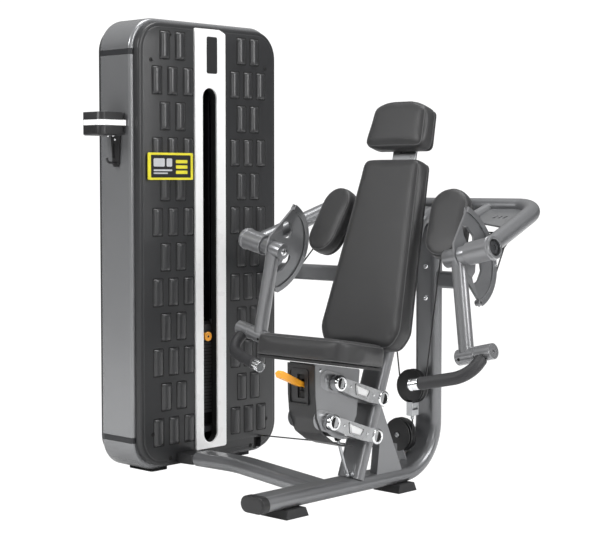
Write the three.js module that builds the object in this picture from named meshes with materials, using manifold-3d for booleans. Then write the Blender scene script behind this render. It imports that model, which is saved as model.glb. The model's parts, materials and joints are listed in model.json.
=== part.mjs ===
// Selectorised biceps (arm curl) machine: weight tower, frame, seat on a
// parallelogram, two arm levers with cams, cables and pulleys.
// Millimetres, +Z up. The user sits facing -Y, the weight tower stands at -X.
import * as THREE from 'three';
import Module from 'manifold-3d';
import { mergeVertices } from 'three/addons/utils/BufferGeometryUtils.js';

const wasm = await Module();
wasm.setup();

// ---------------------------------------------------------------- dimensions
const OFFSET = [227.64, -458.0, 0];       // moves the working frame to the middle of the footprint
const TUBE_HALF_W = 50, TUBE_HALF_T = 25; // flat-oval frame tube 100 x 50
const RAIL_Z = 55, COLUMN_Y = 860, BEND_R = 165;
const TOP_Y = 880, TOP_Z = 962, TOP_X = 438.8, TOP_R = 28; // bent round tube at the top
const TILT = THREE.MathUtils.degToRad(13.35); // tilt of the elbow axes
const HUB = [450, 502, 826];
const CAM_T = -44, CAM_R = 172, CAM_GROOVE = 163.5, CABLE_R = 2.5, CAM_CABLE = 166.8;
const CROSS = [483, 482, 517];
const LINK_V = [-208, 70], LINK_W = [30.5, 121.5]; // seat parallelogram sides (Y, Z)
const UR = [521, 337];
const TOWER = { x0: -985, x1: -815, y0: 210, y1: 920, z0: 15, z1: 1622 };
const BAND_LOW = 118, BAND_HIGH = 1490, BAND_T = 19.7;
const PLATE_H = 25, PLATE_PITCH = 25.4, STACK_Z = 184, STACK_N = 13;
const STACK_X = -900, STACK_Y = 555.5, ROD_DY = 120;
const PLANE_Y = 772, FLOAT = [0, PLANE_Y, 346], BLOCK_Z = 245;

// ------------------------------------------------------------------- helpers
const { Vector2, Vector3, Matrix4, Shape, Path } = THREE;
const V = (a) => new Vector3(a[0], a[1], a[2]);
const add3 = (a, b, s = 1) => [a[0] + b[0] * s, a[1] + b[1] * s, a[2] + b[2] * s];

function toManifold(source) {
  let g = source.clone();
  g.deleteAttribute('normal');
  g.deleteAttribute('uv');
  g = mergeVertices(g, 1e-4);
  const p = g.attributes.position.array;
  const idx = g.index.array;
  let vol = 0;
  const a = new Vector3(), b = new Vector3(), c = new Vector3();
  for (let i = 0; i < idx.length; i += 3) {
    a.fromArray(p, idx[i] * 3); b.fromArray(p, idx[i + 1] * 3); c.fromArray(p, idx[i + 2] * 3);
    vol += a.dot(b.cross(c));
  }
  const tri = [];
  for (let i = 0; i < idx.length; i += 3) {
    const t = vol < 0 ? [idx[i], idx[i + 2], idx[i + 1]] : [idx[i], idx[i + 1], idx[i + 2]];
    if (t[0] !== t[1] && t[1] !== t[2] && t[0] !== t[2]) tri.push(...t);
  }
  try {
    return new wasm.Manifold(new wasm.Mesh({
      numProp: 3, vertProperties: Float32Array.from(p), triVerts: Uint32Array.from(tri),
    }));
  } catch (e) {
    g.computeBoundingBox();
    console.error('open solid', JSON.stringify(g.boundingBox), source.type, tri.length / 3);
    throw e;
  }
}
function toGeometry(m) {
  const mesh = m.getMesh();
  const g = new THREE.BufferGeometry();
  const n = mesh.numProp, out = new Float32Array((mesh.vertProperties.length / n) * 3);
  for (let i = 0; i < out.length / 3; i++) for (let k = 0; k < 3; k++) out[i * 3 + k] = mesh.vertProperties[i * n + k];
  g.setAttribute('position', new THREE.BufferAttribute(out, 3));
  g.setIndex(new THREE.BufferAttribute(Uint32Array.from(mesh.triVerts), 1));
  return g;
}
const union = (...list) => toGeometry(list.map(toManifold).reduce((a, b) => a.add(b)));
const cut = (base, ...list) => toGeometry(list.map(toManifold).reduce((a, b) => a.subtract(b), toManifold(base)));
const common = (x, y) => toGeometry(toManifold(x).intersect(toManifold(y)));

// local x, y, z of a geometry go to u, v, u x v, with the local origin at o
function place(g, o, u, v) {
  const a = V(u).normalize(), b = V(v).normalize(), c = a.clone().cross(b).normalize();
  const m = new Matrix4().makeBasis(a, b, c);
  m.setPosition(o[0], o[1], o[2]);
  return g.applyMatrix4(m);
}
function mirrorX(g) {
  const r = g.clone();
  r.applyMatrix4(new Matrix4().makeScale(-1, 1, 1));
  const i = r.index ? r.index.array : null;
  if (i) for (let k = 0; k < i.length; k += 3) { const t = i[k + 1]; i[k + 1] = i[k + 2]; i[k + 2] = t; }
  return r;
}
function box(x0, x1, y0, y1, z0, z1) {
  const g = new THREE.BoxGeometry(x1 - x0, y1 - y0, z1 - z0);
  g.translate((x0 + x1) / 2, (y0 + y1) / 2, (z0 + z1) / 2);
  return g;
}
function rod(p, q, r, n = 12, r2 = r) {
  const a = V(p), b = V(q), d = b.clone().sub(a);
  const g = new THREE.CylinderGeometry(r2, r, d.length(), n);
  g.translate(0, d.length() / 2, 0);
  g.applyQuaternion(new THREE.Quaternion().setFromUnitVectors(new Vector3(0, 1, 0), d.normalize()));
  g.translate(a.x, a.y, a.z);
  return g;
}
// outline without doubled or straight-line points
function clean(points) {
  let list = points.map((p) => new Vector2(p[0], p[1]));
  for (let changed = true; changed;) {
    const n = list.length;
    const keep = list.filter((p, i) => {
      const a = list[(i + n - 1) % n], b = list[(i + 1) % n];
      return p.distanceTo(a) > 1e-3 && Math.abs((p.x - a.x) * (b.y - a.y) - (p.y - a.y) * (b.x - a.x)) > 1e-5;
    });
    changed = keep.length !== n;
    list = keep;
  }
  return list;
}
function poly(points, holes = []) {
  const s = new Shape(clean(points));
  for (const h of holes) s.holes.push(new Path(clean(h)));
  return s;
}
function ring(r, n = 16, a0 = 0) {
  return Array.from({ length: n }, (_, i) => [r * Math.cos(a0 + (i / n) * Math.PI * 2), r * Math.sin(a0 + (i / n) * Math.PI * 2)]);
}
function arc(cx, cy, r, d0, d1, n) {
  return Array.from({ length: n + 1 }, (_, i) => {
    const t = THREE.MathUtils.degToRad(d0 + ((d1 - d0) * i) / n);
    return [cx + r * Math.cos(t), cy + r * Math.sin(t)];
  });
}
function rounded(x0, x1, y0, y1, r, n = 3) {
  return [...arc(x1 - r, y1 - r, r, 0, 90, n), ...arc(x0 + r, y1 - r, r, 90, 180, n),
    ...arc(x0 + r, y0 + r, r, 180, 270, n), ...arc(x1 - r, y0 + r, r, 270, 360, n)];
}
// polygon with each corner rounded by its own radius
function soft(points, n = 2) {
  const out = [];
  const m = points.length;
  for (let i = 0; i < m; i++) {
    const p = new Vector2(points[i][0], points[i][1]);
    const a = new Vector2(...points[(i + m - 1) % m].slice(0, 2)).sub(p), b = new Vector2(...points[(i + 1) % m].slice(0, 2)).sub(p);
    const r = points[i][2] || 0;
    if (!r) { out.push([p.x, p.y]); continue; }
    const la = a.length(), lb = b.length();
    a.normalize(); b.normalize();
    const half = Math.acos(THREE.MathUtils.clamp(a.dot(b), -1, 1)) / 2;
    const t = Math.min(r / Math.tan(half), la * 0.49, lb * 0.49);
    const s = p.clone().addScaledVector(a, t), e = p.clone().addScaledVector(b, t);
    for (let k = 0; k <= n; k++) {
      const u = k / n;
      const q = s.clone().multiplyScalar((1 - u) ** 2).addScaledVector(p, 2 * u * (1 - u)).addScaledVector(e, u * u);
      out.push([q.x, q.y]);
    }
  }
  return out;
}
function slab(shape, depth, bevel = 0, seg = 1) {
  const g = new THREE.ExtrudeGeometry(shape, {
    depth: depth - 2 * bevel, steps: 1, curveSegments: 8, bevelEnabled: bevel > 0,
    bevelThickness: bevel, bevelSize: bevel, bevelOffset: -bevel, bevelSegments: seg,
  });
  g.translate(0, 0, bevel);
  return g;
}
const inYZ = (pts, x0, x1, bevel = 0, holes = [], seg = 1) => place(slab(poly(pts, holes), x1 - x0, bevel, seg), [x0, 0, 0], [0, 1, 0], [0, 0, 1]);
const inXZ = (pts, y0, y1, bevel = 0, holes = []) => place(slab(poly(pts, holes), y1 - y0, bevel), [0, y1, 0], [1, 0, 0], [0, 0, 1]);
const inXY = (pts, z0, z1, bevel = 0, holes = []) => place(slab(poly(pts, holes), z1 - z0, bevel), [0, 0, z0], [1, 0, 0], [0, 1, 0]);

// a path whose samples fall exactly on its own corner points
class CornerPath extends THREE.Curve {
  constructor(points) { super(); this.points = points; }
  getPoint(t, target = new Vector3()) {
    const n = this.points.length - 1, s = Math.min(Math.max(t, 0), 1) * n, i = Math.min(Math.floor(s + 1e-9), n - 1);
    return target.copy(this.points[i]).lerp(this.points[i + 1], s - i);
  }
  getPointAt(t, target) { return this.getPoint(t, target); }
  getTangent(t, target = new Vector3()) {
    const p = this.points, n = p.length - 1, i = Math.round(Math.min(Math.max(t, 0), 1) * n);
    const before = i > 0 ? p[i].clone().sub(p[i - 1]).normalize() : new Vector3();
    const after = i < n ? p[i + 1].clone().sub(p[i]).normalize() : new Vector3();
    return target.copy(before).add(after).normalize();
  }
  getTangentAt(t, target) { return this.getTangent(t, target); }
}
// rounds the corners of a route, and keeps each bend's centre and axis
function route(points, radii, n = 6) {
  const out = [V(points[0])], bends = [];
  for (let i = 1; i < points.length - 1; i++) {
    const p = V(points[i]), a = V(points[i - 1]).sub(p).normalize(), b = V(points[i + 1]).sub(p).normalize();
    const r = radii[i] || 0;
    if (!r) { out.push(p); continue; }
    const half = Math.acos(THREE.MathUtils.clamp(a.dot(b), -1, 1)) / 2, t = r / Math.tan(half);
    const centre = p.clone().addScaledVector(a.clone().add(b).normalize(), r / Math.sin(half));
    const s = p.clone().addScaledVector(a, t), e = p.clone().addScaledVector(b, t);
    const axis = s.clone().sub(centre).cross(e.clone().sub(centre)).normalize();
    const turn = Math.PI - 2 * half;
    for (let k = 0; k <= n; k++) out.push(s.clone().sub(centre).applyAxisAngle(axis, (turn * k) / n).add(centre));
    bends.push({ centre: centre.toArray(), axis: axis.toArray() });
  }
  out.push(V(points[points.length - 1]));
  return { points: out, bends };
}
const sweep = (points, section, holes = []) => new THREE.ExtrudeGeometry(poly(section, holes), {
  steps: points.length - 1, extrudePath: new CornerPath(points), bevelEnabled: false,
});
// flat-oval section: local x is the thickness, local y the width
const oval = (t, w, n = 6) => [...arc(0, w - t, t, 0, 180, n), ...arc(0, -(w - t), t, 180, 360, n)];
// the same section for a path that starts upwards, where local x is the width
const ovalUp = (t, w, n = 6) => oval(t, w, n).map(([x, y]) => [y, x]).reverse();

function pulley(centre, axis, outer, groove, width, bore, n = 12) {
  const h = width / 2, inner = (bore + 0.05) / Math.cos(Math.PI / n);
  const profile = [[inner, -h], [outer, -h], [outer, -h + 3.5], [groove, -3.2], [groove, 3.2], [outer, h - 3.5], [outer, h], [inner, h], [inner, -h]];
  const g = new THREE.LatheGeometry(profile.map((p) => new Vector2(p[0], p[1])), n);
  const q = new THREE.Quaternion().setFromUnitVectors(new Vector3(0, 1, 0), V(axis).normalize());
  g.applyQuaternion(q);
  g.translate(centre[0], centre[1], centre[2]);
  return g;
}
const along = (c, axis, s) => add3(c, axis, s);

// -------------------------------------------------------------------- finish
const FINISH = {
  frame: [0x83868a, 0.42, 0.75], tower: [0x7e8084, 0.38, 0.75], cover: [0x3a3b3d, 0.55, 0.05],
  white: [0xececf0, 0.35, 0.0], black: [0x232426, 0.6, 0.0], rubber: [0x2e2f31, 0.8, 0.0],
  upholstery: [0x4a4b4d, 0.7, 0.0], chrome: [0xd8dadc, 0.12, 1.0], cast: [0xc6c8ca, 0.25, 0.95],
  steel: [0x9a9c9f, 0.35, 0.9], iron: [0x2a2a2c, 0.6, 0.5], orange: [0xf0a020, 0.4, 0.0],
  cable: [0x18181a, 0.5, 0.0], band: [0x3c3d40, 0.5, 0.3],
};
const group = new THREE.Group();
group.name = 'biceps_machine';
function part(name, geometry, finish) {
  let g = geometry.index ? geometry : mergeVertices(geometry);
  g = toGeometry(toManifold(g));
  g.translate(OFFSET[0], OFFSET[1], OFFSET[2]);
  g.computeVertexNormals();
  const [color, roughness, metalness] = FINISH[finish];
  const mesh = new THREE.Mesh(g, new THREE.MeshStandardMaterial({ color, roughness, metalness, name: finish }));
  mesh.name = name;
  group.add(mesh);
  return mesh;
}

// --------------------------------------------------------------- frame tubes
const railPath = route([[0, 3, RAIL_Z], [0, COLUMN_Y, RAIL_Z], [0, COLUMN_Y, 955]], [0, BEND_R, 0], 8).points;
let rail = sweep(railPath, oval(TUBE_HALF_T, TUBE_HALF_W));
const tieOuter = (x0, x1, grow = 0) => inYZ(soft([[843 - grow, 681 - grow, 12], [877 + grow, 681 - grow, 12], [877 + grow, 739 + grow, 12], [843 - grow, 739 + grow, 12]]), x0, x1);
rail = cut(rail, tieOuter(-120, 120, 0.3), rod([-200, TOP_Y, TOP_Z], [200, TOP_Y, TOP_Z], TOP_R + 0.3, 24));

// ---------------------------------------------------------- cables, pulleys
const ct = Math.cos(TILT), st = Math.sin(TILT);
const A = [ct, 0, st], B = [-st, 0, ct];               // elbow axis and its "up" on the right side
const hubAt = (t, y = 0, h = 0) => [HUB[0] + A[0] * t + B[0] * h, HUB[1] + y, HUB[2] + A[2] * t + B[2] * h];
const flip = (p) => [-p[0], p[1], p[2]];
const camArc = [];
for (let k = 0; k <= 4; k++) {
  const t = THREE.MathUtils.degToRad(-69 + (28 * k) / 4);
  camArc.push(hubAt(CAM_T, CAM_CABLE * Math.cos(t), CAM_CABLE * Math.sin(t)));
}
const Q = hubAt(CAM_T, 273, 64);
const M_R = [130, PLANE_Y + 3, 885], FU_R = 52.8;
const fall = Math.atan2(M_R[0] - FU_R, M_R[2] - FLOAT[2]) * 180 / Math.PI; // slant of the two falling runs
const underUpper = arc(FLOAT[0], FLOAT[2], FU_R, -fall, -180 + fall, 8).map((p) => [p[0], FLOAT[1], p[1]]);
const rightRun = route([camArc[4], Q, M_R, underUpper[0]], [0, 38, 40, 0], 5);
const leftRun = route([flip(camArc[4]), flip(Q), flip(M_R), underUpper[8]], [0, 38, 40, 0], 5);
const armCablePath = [
  ...camArc.slice(0, 4).map(V), ...rightRun.points.slice(0, -1), ...underUpper.map(V),
  ...leftRun.points.slice(0, -1).reverse(), ...camArc.slice(0, 4).map(flip).reverse().map(V),
];
const HEAD_TOP = 549;
const stackRun = route([
  [STACK_X, STACK_Y, HEAD_TOP + 0.6], [STACK_X, STACK_Y, 1560], [STACK_X, 815, 1560], [STACK_X, 815, 73],
  [0, PLANE_Y, 123], [0, PLANE_Y, BLOCK_Z - 0.6],
], [0, 47.5, 47.5, 30, FU_R, 0], 6);

const [T1, T2, L1, B1] = stackRun.bends, [CR, MR] = rightRun.bends, [CL, ML] = leftRun.bends;

// --------------------------------------------------- rail, with its bracket
function baseBracket() {
  const c = B1.centre, a = V(B1.axis).normalize();
  if (a.y < 0) a.negate();
  const list = [rod(along(c, a.toArray(), -22), along(c, a.toArray(), 22), 8)];
  for (const s of [-20, 15]) {
    list.push(inXZ([[c[0] - 16, 96], [-24, 66], [-8, 84], [c[0] + 17, c[2] + 2], [c[0] - 17, c[2] + 2]], c[1] + s, c[1] + s + 5));
    list.push(rod(along(c, a.toArray(), s), along(c, a.toArray(), s + 5), 56, 18));
  }
  return list;
}
part('main_rail_column', union(rail, ...baseBracket()), 'frame');
part('rail_end_cap', cut(
  sweep([[0, -4, RAIL_Z], [0, 0, RAIL_Z], [0, 26, RAIL_Z]].map(V), oval(26.6, 51.6)),
  sweep([[0, 2.6, RAIL_Z], [0, 15, RAIL_Z], [0, 40, RAIL_Z]].map(V), oval(25.4, 50.4))), 'black');
const foot = (y0, y1) => place(slab(poly([[y0, 0], [y1, 0], [y1 - 14, 29.7], [y0 + 6, 29.7]]), 112), [-56, 0, 0], [0, 1, 0], [0, 0, 1]);
part('front_foot', foot(90, 192), 'rubber');
part('rear_foot', foot(632, 728), 'rubber');

const linkPath = route([[-704, 446, 50], [-500, 440, RAIL_Z], [-20, 322, RAIL_Z]], [0, 420, 0], 6).points;
part('base_link_tube', cut(sweep(linkPath, oval(TUBE_HALF_T, TUBE_HALF_W)),
  sweep([[0, 0, RAIL_Z], [0, 300, RAIL_Z], [0, 600, RAIL_Z]].map(V), oval(25.3, 50.3))), 'frame');
part('tower_coupling', inXY(soft([[-784.6, 390, 0], [-706, 400, 10], [-706, 482, 10], [-784.6, 482, 0]]), 30, 66, 3), 'black');
part('tie_bar', tieOuter(-814.6, 128), 'frame');

// ------------------------------------------------------------------ back post
const postY = (z) => 451 + (z - 70) * 0.3785;
const postPath = route([[0, postY(60), 60], [0, postY(918), 918], [0, 846, 936]], [0, 55, 0], 5).points;
let post = sweep(postPath, ovalUp(TUBE_HALF_T, TUBE_HALF_W));
const LR = [UR[0] - LINK_W[0], UR[1] - LINK_W[1]];
const UF = [UR[0] + LINK_V[0], UR[1] + LINK_V[1]], LF = [LR[0] + LINK_V[0], LR[1] + LINK_V[1]];
const acrossX = (p, x0, x1, r, n = 12) => rod([x0, p[0], p[1]], [x1, p[0], p[1]], r, n);
const SHAFT_R = 12, BORE_R = (SHAFT_R + 0.06) / Math.cos(Math.PI / 12);
const brace = inYZ(soft([[540, 60, 0], [676, 60, 0], [560, 312, 14], [516, 300, 0], [556, 190, 60]], 4), 6, 38, 4);
const bracketLow = inYZ([[545, 560], [640, 560], [640, 640], [565, 640]], -30, 30);
const bracketHigh = inYZ([[635, 862], [740, 862], [760, 930], [655, 930]], -30, 30);
const gasLug = rod([20, 446, 92], [20, 424, 92], 9, 14);
post = union(post, acrossX(UR, -52, 52, 24), acrossX(LR, -52, 52, 24), brace, bracketLow, bracketHigh, gasLug);
post = cut(post, acrossX(UR, -60, 60, BORE_R), acrossX(LR, -60, 60, BORE_R),
  box(-100, 100, 300, 800, 0, 80.3),
  sweep(route([[0, 3, RAIL_Z], [0, COLUMN_Y, RAIL_Z], [0, COLUMN_Y, 980]], [0, BEND_R, 0], 8).points, oval(25.4, 50.4)));

// back rest, head rest: origin on the back plane, normal towards the user
const BT = THREE.MathUtils.degToRad(16.3);
const backV = [0, Math.sin(BT), Math.cos(BT)], backN = [0, -Math.cos(BT), Math.sin(BT)];
const BACK_T = 66, BACK_L = 640;
const backO = add3([0, 471.6, 505], backN, -BACK_T);
const backShape = soft([[-146, 0, 75], [146, 0, 75], [177, 60, 70], [120, BACK_L, 32], [-120, BACK_L, 32], [-177, 60, 70]], 4);
const backPad = place(slab(poly(backShape), BACK_T, 12, 1), backO, [1, 0, 0], backV);
post = cut(post, place(slab(poly([[-200, -50], [200, -50], [200, 800], [-200, 800]]), 90), add3(backO, backN, -0.4), [1, 0, 0], backV));
part('back_post', post, 'frame');
part('backrest_pad', backPad, 'upholstery');

const HT = THREE.MathUtils.degToRad(17.6);
const headV = [0, Math.sin(HT), Math.cos(HT)], headN = [0, -Math.cos(HT), Math.sin(HT)];
const headO = add3([0, 653.1, 1164], headN, -72);
part('headrest_pad', place(slab(poly(soft([[-120, 0, 30], [120, 0, 30], [100, 146, 28], [0, 158, 60], [-100, 146, 28]], 3)), 72, 12, 1), headO, [1, 0, 0], headV), 'upholstery');
const neckO = add3(backO, backV, 502);
const neckTop = add3(headO, headV, 100);
part('headrest_bracket', cut(sweep(route([add3(neckO, backN, -4.4), add3(add3(backO, backV, 610), backN, -4.4), add3(add3(headO, headV, 14), headN, -4.4), add3(neckTop, headN, -4.4)], [0, 60, 60, 0], 3).points,
  [[-50, -4], [50, -4], [50, 4], [-50, 4]]),
  place(slab(poly([[-60, -200], [60, -200], [60, 800], [-60, 800]]), 120), add3(backO, backN, -0.35), [1, 0, 0], backV),
  place(slab(poly([[-130, -6], [130, -6], [130, 200], [-130, 200]]), 120), add3(headO, headN, -0.35), [1, 0, 0], headV)), 'steel');

// ------------------------------------------------------------------ top frame
const armEnd = [491.8, 502, 830.4];
const PIVOT_BORE = (17 + 0.06) / Math.cos(Math.PI / 12);
const topPath = route([armEnd, [TOP_X, TOP_Y, TOP_Z], [-TOP_X, TOP_Y, TOP_Z], flip(armEnd)], [0, 92, 92, 0], 5).points;
const dir = V([TOP_X, TOP_Y, TOP_Z]).sub(V(armEnd)).normalize().negate().toArray();
function gusset(sign) {
  // plate in the plane of the bend: local x runs inwards along the cross section, local y down the arm
  const c = [sign * TOP_X, TOP_Y, TOP_Z], u = [-sign, 0, 0], f = [sign * dir[0], dir[1], dir[2]];
  const v = V(f).addScaledVector(V(u), -V(f).dot(V(u))).normalize().toArray();
  const skew = V(f).dot(V(u)), side = Math.sqrt(1 - skew * skew);
  const at = (p, q) => [p + q * skew, q * side];
  const slots = [0, 1, 2].map((i) => [[58 + 20 * i, 92], [68 + 20 * i, 96], [68 + 20 * i, 118], [58 + 20 * i, 114]]);
  const g = slab(poly([at(15, 15), at(200, 15), [150, 150], at(15, 200)], slots), 6);
  g.translate(0, 0, -3);
  return place(g, c, u, v);
}
// bearing housing at the end of each frame arm, and what is bored out of it
const housing = rod(hubAt(-9), hubAt(92), 36, 14);
const housingBore = [rod(hubAt(-30), hubAt(110), PIVOT_BORE, 12), rod(hubAt(80), hubAt(110), 27, 12)];
const padL = V([-0.126, 0.426, 1]).normalize().toArray();
const padN = V([0.1, -0.92, 0.38]).addScaledVector(V(padL), -V([0.1, -0.92, 0.38]).dot(V(padL))).normalize().toArray();
const padC = [254.5, 620, 920];
function armPad() {
  const u = V(padL).cross(V(padN)).normalize().toArray();
  const g = slab(poly(rounded(-70, 70, -122, 122, 62, 4)), 56, 12, 1);
  return place(g, add3(padC, padN, -56), u, padL);
}
function padSupport() {
  const u = V(padL).cross(V(padN)).normalize().toArray();
  const o = add3(padC, padN, -62.4);
  const stub = cut(rod(add3(padC, padN, -50), [250, 870, 958], 19, 12), place(slab(poly(rounded(-60, 60, -90, 90, 0.1, 1)), 60), add3(padC, padN, -56.4), u, padL));
  return [place(slab(poly(rounded(-32, 32, -60, 60, 10, 1)), 6), o, u, padL), stub];
}
function hanger(bend, tx, ty, tz) {
  let a = V(bend.axis).normalize();
  if (a.y < 0) a = a.negate();
  const c = bend.centre, back = along(c, a.toArray(), 27), front = along(c, a.toArray(), -12.5);
  return [rod(front, back, 8, 12), rod(along(c, a.toArray(), 23), [tx, ty, tz], 9, 8)];
}
const topFrame = union(
  sweep(topPath, ring(TOP_R, 12)), gusset(1), gusset(-1), housing, mirrorX(housing),
  ...padSupport(), ...padSupport().map(mirrorX),
  ...hanger(CR, CR.centre[0], 874, 958), ...hanger(CL, CL.centre[0], 874, 958),
  ...hanger(MR, MR.centre[0], 874, 958), ...hanger(ML, ML.centre[0], 874, 958),
);
const postClear = sweep(route([[0, postY(500), 500], [0, postY(918), 918], [0, 846, 936]], [0, 55, 0], 5).points, ovalUp(25.4, 50.4));
part('top_frame_tube', cut(topFrame, postClear, ...housingBore, ...housingBore.map(mirrorX)), 'frame');
part('right_arm_pad', armPad(), 'upholstery');
part('left_arm_pad', mirrorX(armPad()), 'upholstery');

// -------------------------------------------------------------- weight tower
const T = TOWER;
const sideProfile = (y0, y1) => rounded(T.x0, T.x1, y0, y1, 10, 3);
const sideHole = (y0, y1) => rounded(T.x0 + 4, T.x1 - 4, y0 + 4, y1 - 4, 6, 2).reverse();
for (const [name, y0, y1] of [['tower_front_side', T.y0, T.y0 + 60], ['tower_rear_side', T.y1 - 60, T.y1]]) {
  part(name, inXY(sideProfile(y0, y1), BAND_LOW + BAND_T + 0.3, BAND_HIGH - 0.3, 0, [sideHole(y0, y1)]), 'tower');
}
const capR = T.z1 - (BAND_HIGH + BAND_T + 0.3);
const topBand = [
  [T.y1, T.z1 - capR], ...arc(T.y1 - capR, T.z1 - capR, capR, 0, 90, 8).slice(1), ...arc(T.y0 + capR, T.z1 - capR, capR, 90, 180, 8),
  ...arc(T.y0 + capR, T.z1 - capR, capR - 24, 180, 90, 6), ...arc(T.y1 - capR, T.z1 - capR, capR - 24, 90, 0, 6),
];
part('tower_top_cap', inYZ(topBand, T.x0, T.x1, 6), 'tower');
const lowR = BAND_LOW - 0.3 - T.z0;
const lowBand = [
  ...arc(T.y0 + lowR, T.z0 + lowR, lowR, 180, 270, 8), ...arc(T.y1 - lowR, T.z0 + lowR, lowR, 270, 360, 8),
  ...arc(T.y1 - lowR, T.z0 + lowR, lowR - 24, 360, 270, 6), ...arc(T.y0 + lowR, T.z0 + lowR, lowR - 24, 270, 180, 6),
];
part('tower_bottom_cap', inYZ(lowBand, T.x0, T.x1, 6), 'tower');
part('tower_foot_front', inXY(rounded(-965, -835, 316, 396, 12, 3), 0, 14.7, 0), 'rubber');
part('tower_foot_rear', inXY(rounded(-965, -835, 734, 814, 12, 3), 0, 14.7, 0), 'rubber');

const rodAt = (s) => [STACK_X, STACK_Y + s * ROD_DY];
const crossPlate = (z, holes) => inXY(rounded(T.x0 + 2, T.x1 - 2, T.y0 + 2, T.y1 - 2, 9, 3), z, z + BAND_T, 0, holes);
const hole = (x, y, r, n = 16) => ring(r, n).map((p) => [p[0] + x, p[1] + y]).reverse();
const rectHole = (x0, x1, y0, y1) => [[x0, y0], [x0, y1], [x1, y1], [x1, y0]];
function axleStand(c, z0) {
  const list = [rod([c[0] - 24, c[1], c[2]], [c[0] + 24, c[1], c[2]], 8)];
  for (const x of [c[0] - 24, c[0] + 17]) list.push(box(x, x + 7, c[1] - 14, c[1] + 14, z0, c[2] + 14));
  return list;
}
part('upper_crosshead', union(crossPlate(BAND_HIGH, [
  rectHole(-915, -885, T1.centre[1] - 56, T1.centre[1] + 56), rectHole(-915, -885, T2.centre[1] - 56, T2.centre[1] + 56),
  hole(STACK_X, STACK_Y + ROD_DY + 0, 0.01, 3),
].slice(0, 2)), ...axleStand(T1.centre, 1500), ...axleStand(T2.centre, 1500)), 'band');
const lowAxis = V(L1.axis).y < 0 ? V(L1.axis).negate().toArray() : L1.axis;
const lowCheek = (s) => box(L1.centre[0] - 12, L1.centre[0] + 12, L1.centre[1] + s * 20 - 3, L1.centre[1] + s * 20 + 3, L1.centre[2] - 12, 125);
part('lower_crosshead', union(crossPlate(BAND_LOW, [rectHole(L1.centre[0] - 39, L1.centre[0] + 39, L1.centre[1] - 17, L1.centre[1] + 17)]),
  lowCheek(-1), lowCheek(1), rod(along(L1.centre, lowAxis, -21), along(L1.centre, lowAxis, 21), 6, 12)), 'band');
for (const [name, s] of [['guide_rod_front', -1], ['guide_rod_rear', 1]]) {
  part(name, rod([...rodAt(s), BAND_LOW + BAND_T + 0.3], [...rodAt(s), BAND_HIGH - 0.3], 12.5, 16), 'chrome');
}

const coverOuter = rounded(225, 905, 30, 1607, 100, 6), coverInner = rounded(229, 901, 34, 1603, 96, 6);
const tray = (x0, x1, wall0, wall1) => cut(inYZ(coverOuter, x0, x1, 0), inYZ(coverInner, wall0, wall1, 0));
const frontTray = cut(
  cut(inYZ(coverOuter, -830, -785, 7), inYZ(coverInner, -840, -790.5, 0)),
  box(-900, -814.6, 0, 1000, 0, 1700),
  inYZ([...arc(STACK_Y, 1345, 45, 0, 180, 8), ...arc(STACK_Y, 125, 45, 180, 360, 8)], -820, -700),
  box(-820, -700, 784, 824, 48, 92), tieOuter(-840, -700, 1));
part('front_cover', frontTray, 'cover');
part('rear_cover', cut(cut(inYZ(coverOuter, -1012, -970, 7), inYZ(coverInner, -1006.5, -960, 0)), box(-985.4, -900, 0, 1000, 0, 1700)), 'cover');
part('window_frame', inYZ(soft([[483, 64.5, 5], [634, 64.5, 8], [634, 1584, 6], [605, 1597, 6], [483, 1597, 3]], 2), -784.7, -778, 2,
  [[...arc(STACK_Y, 1349, 35.5, 0, 180, 8), ...arc(STACK_Y, 121, 35.5, 180, 360, 8)].reverse()]), 'white');

// drinks holder on the narrow side
const cup = cut(inXY(rounded(-945, -835, 92, 209.6, 22, 4), 1206, 1287, 0), inXY(rounded(-941, -839, 96, 205.6, 18, 4), 1210, 1300, 0));
const cupBracket = union(cup, box(-911, -866, 203, 209.6, 1098, 1212), rod([-888, 206, 1112], [-888, 168, 1112], 4, 10), rod([-888, 170, 1110], [-888, 163, 1126], 4, 10));
part('bottle_holder', cupBracket, 'black');

// -------------------------------------------------------------- weight stack
const STEM_R = 12, STEM_BORE = (STEM_R + 0.3) / Math.cos(Math.PI / 16), ROD_BORE = (12.5 + 0.35) / Math.cos(Math.PI / 16);
const plateBottom = (i) => STACK_Z + PLATE_PITCH * i;
const PIN_Z = plateBottom(11) + PLATE_H / 2;
const verticalBores = (z0, z1, stem) => {
  const list = [-1, 1].map((s) => rod([...rodAt(s), z0], [...rodAt(s), z1], ROD_BORE, 16));
  if (stem) list.push(rod([STACK_X, STACK_Y, z0], [STACK_X, STACK_Y, z1], STEM_BORE, 16));
  return list;
};
const PX0 = -955, PX1 = -845, PY0 = STACK_Y - 160, PY1 = STACK_Y + 160;
const plate = (i) => box(PX0, PX1, PY0, PY1, plateBottom(i), plateBottom(i) + PLATE_H);
const comb = [];
for (let i = 0; i < 11; i++) {
  const z = plateBottom(i);
  comb.push([PX1, z], [PX1, z + PLATE_H - 0.8]);
  if (i < 10) comb.push([PX1 - 3, z + PLATE_H - 0.8], [PX1 - 3, z + PLATE_PITCH]);
}
for (let i = 10; i >= 0; i--) {
  const z = plateBottom(i);
  comb.push([PX0, z + PLATE_H - 0.8], [PX0, z]);
  if (i > 0) comb.push([PX0 + 3, z], [PX0 + 3, z - PLATE_PITCH + PLATE_H - 0.8]);
}
part('lower_weight_plates', cut(inXZ(comb, PY0, PY1), ...verticalBores(150, 600, true)), 'iron');
part('selected_weight_plate', cut(plate(11), ...verticalBores(400, 600, true), rod([PX1 + 5, STACK_Y, PIN_Z], [STACK_X, STACK_Y, PIN_Z], 5.5, 14)), 'iron');
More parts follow.
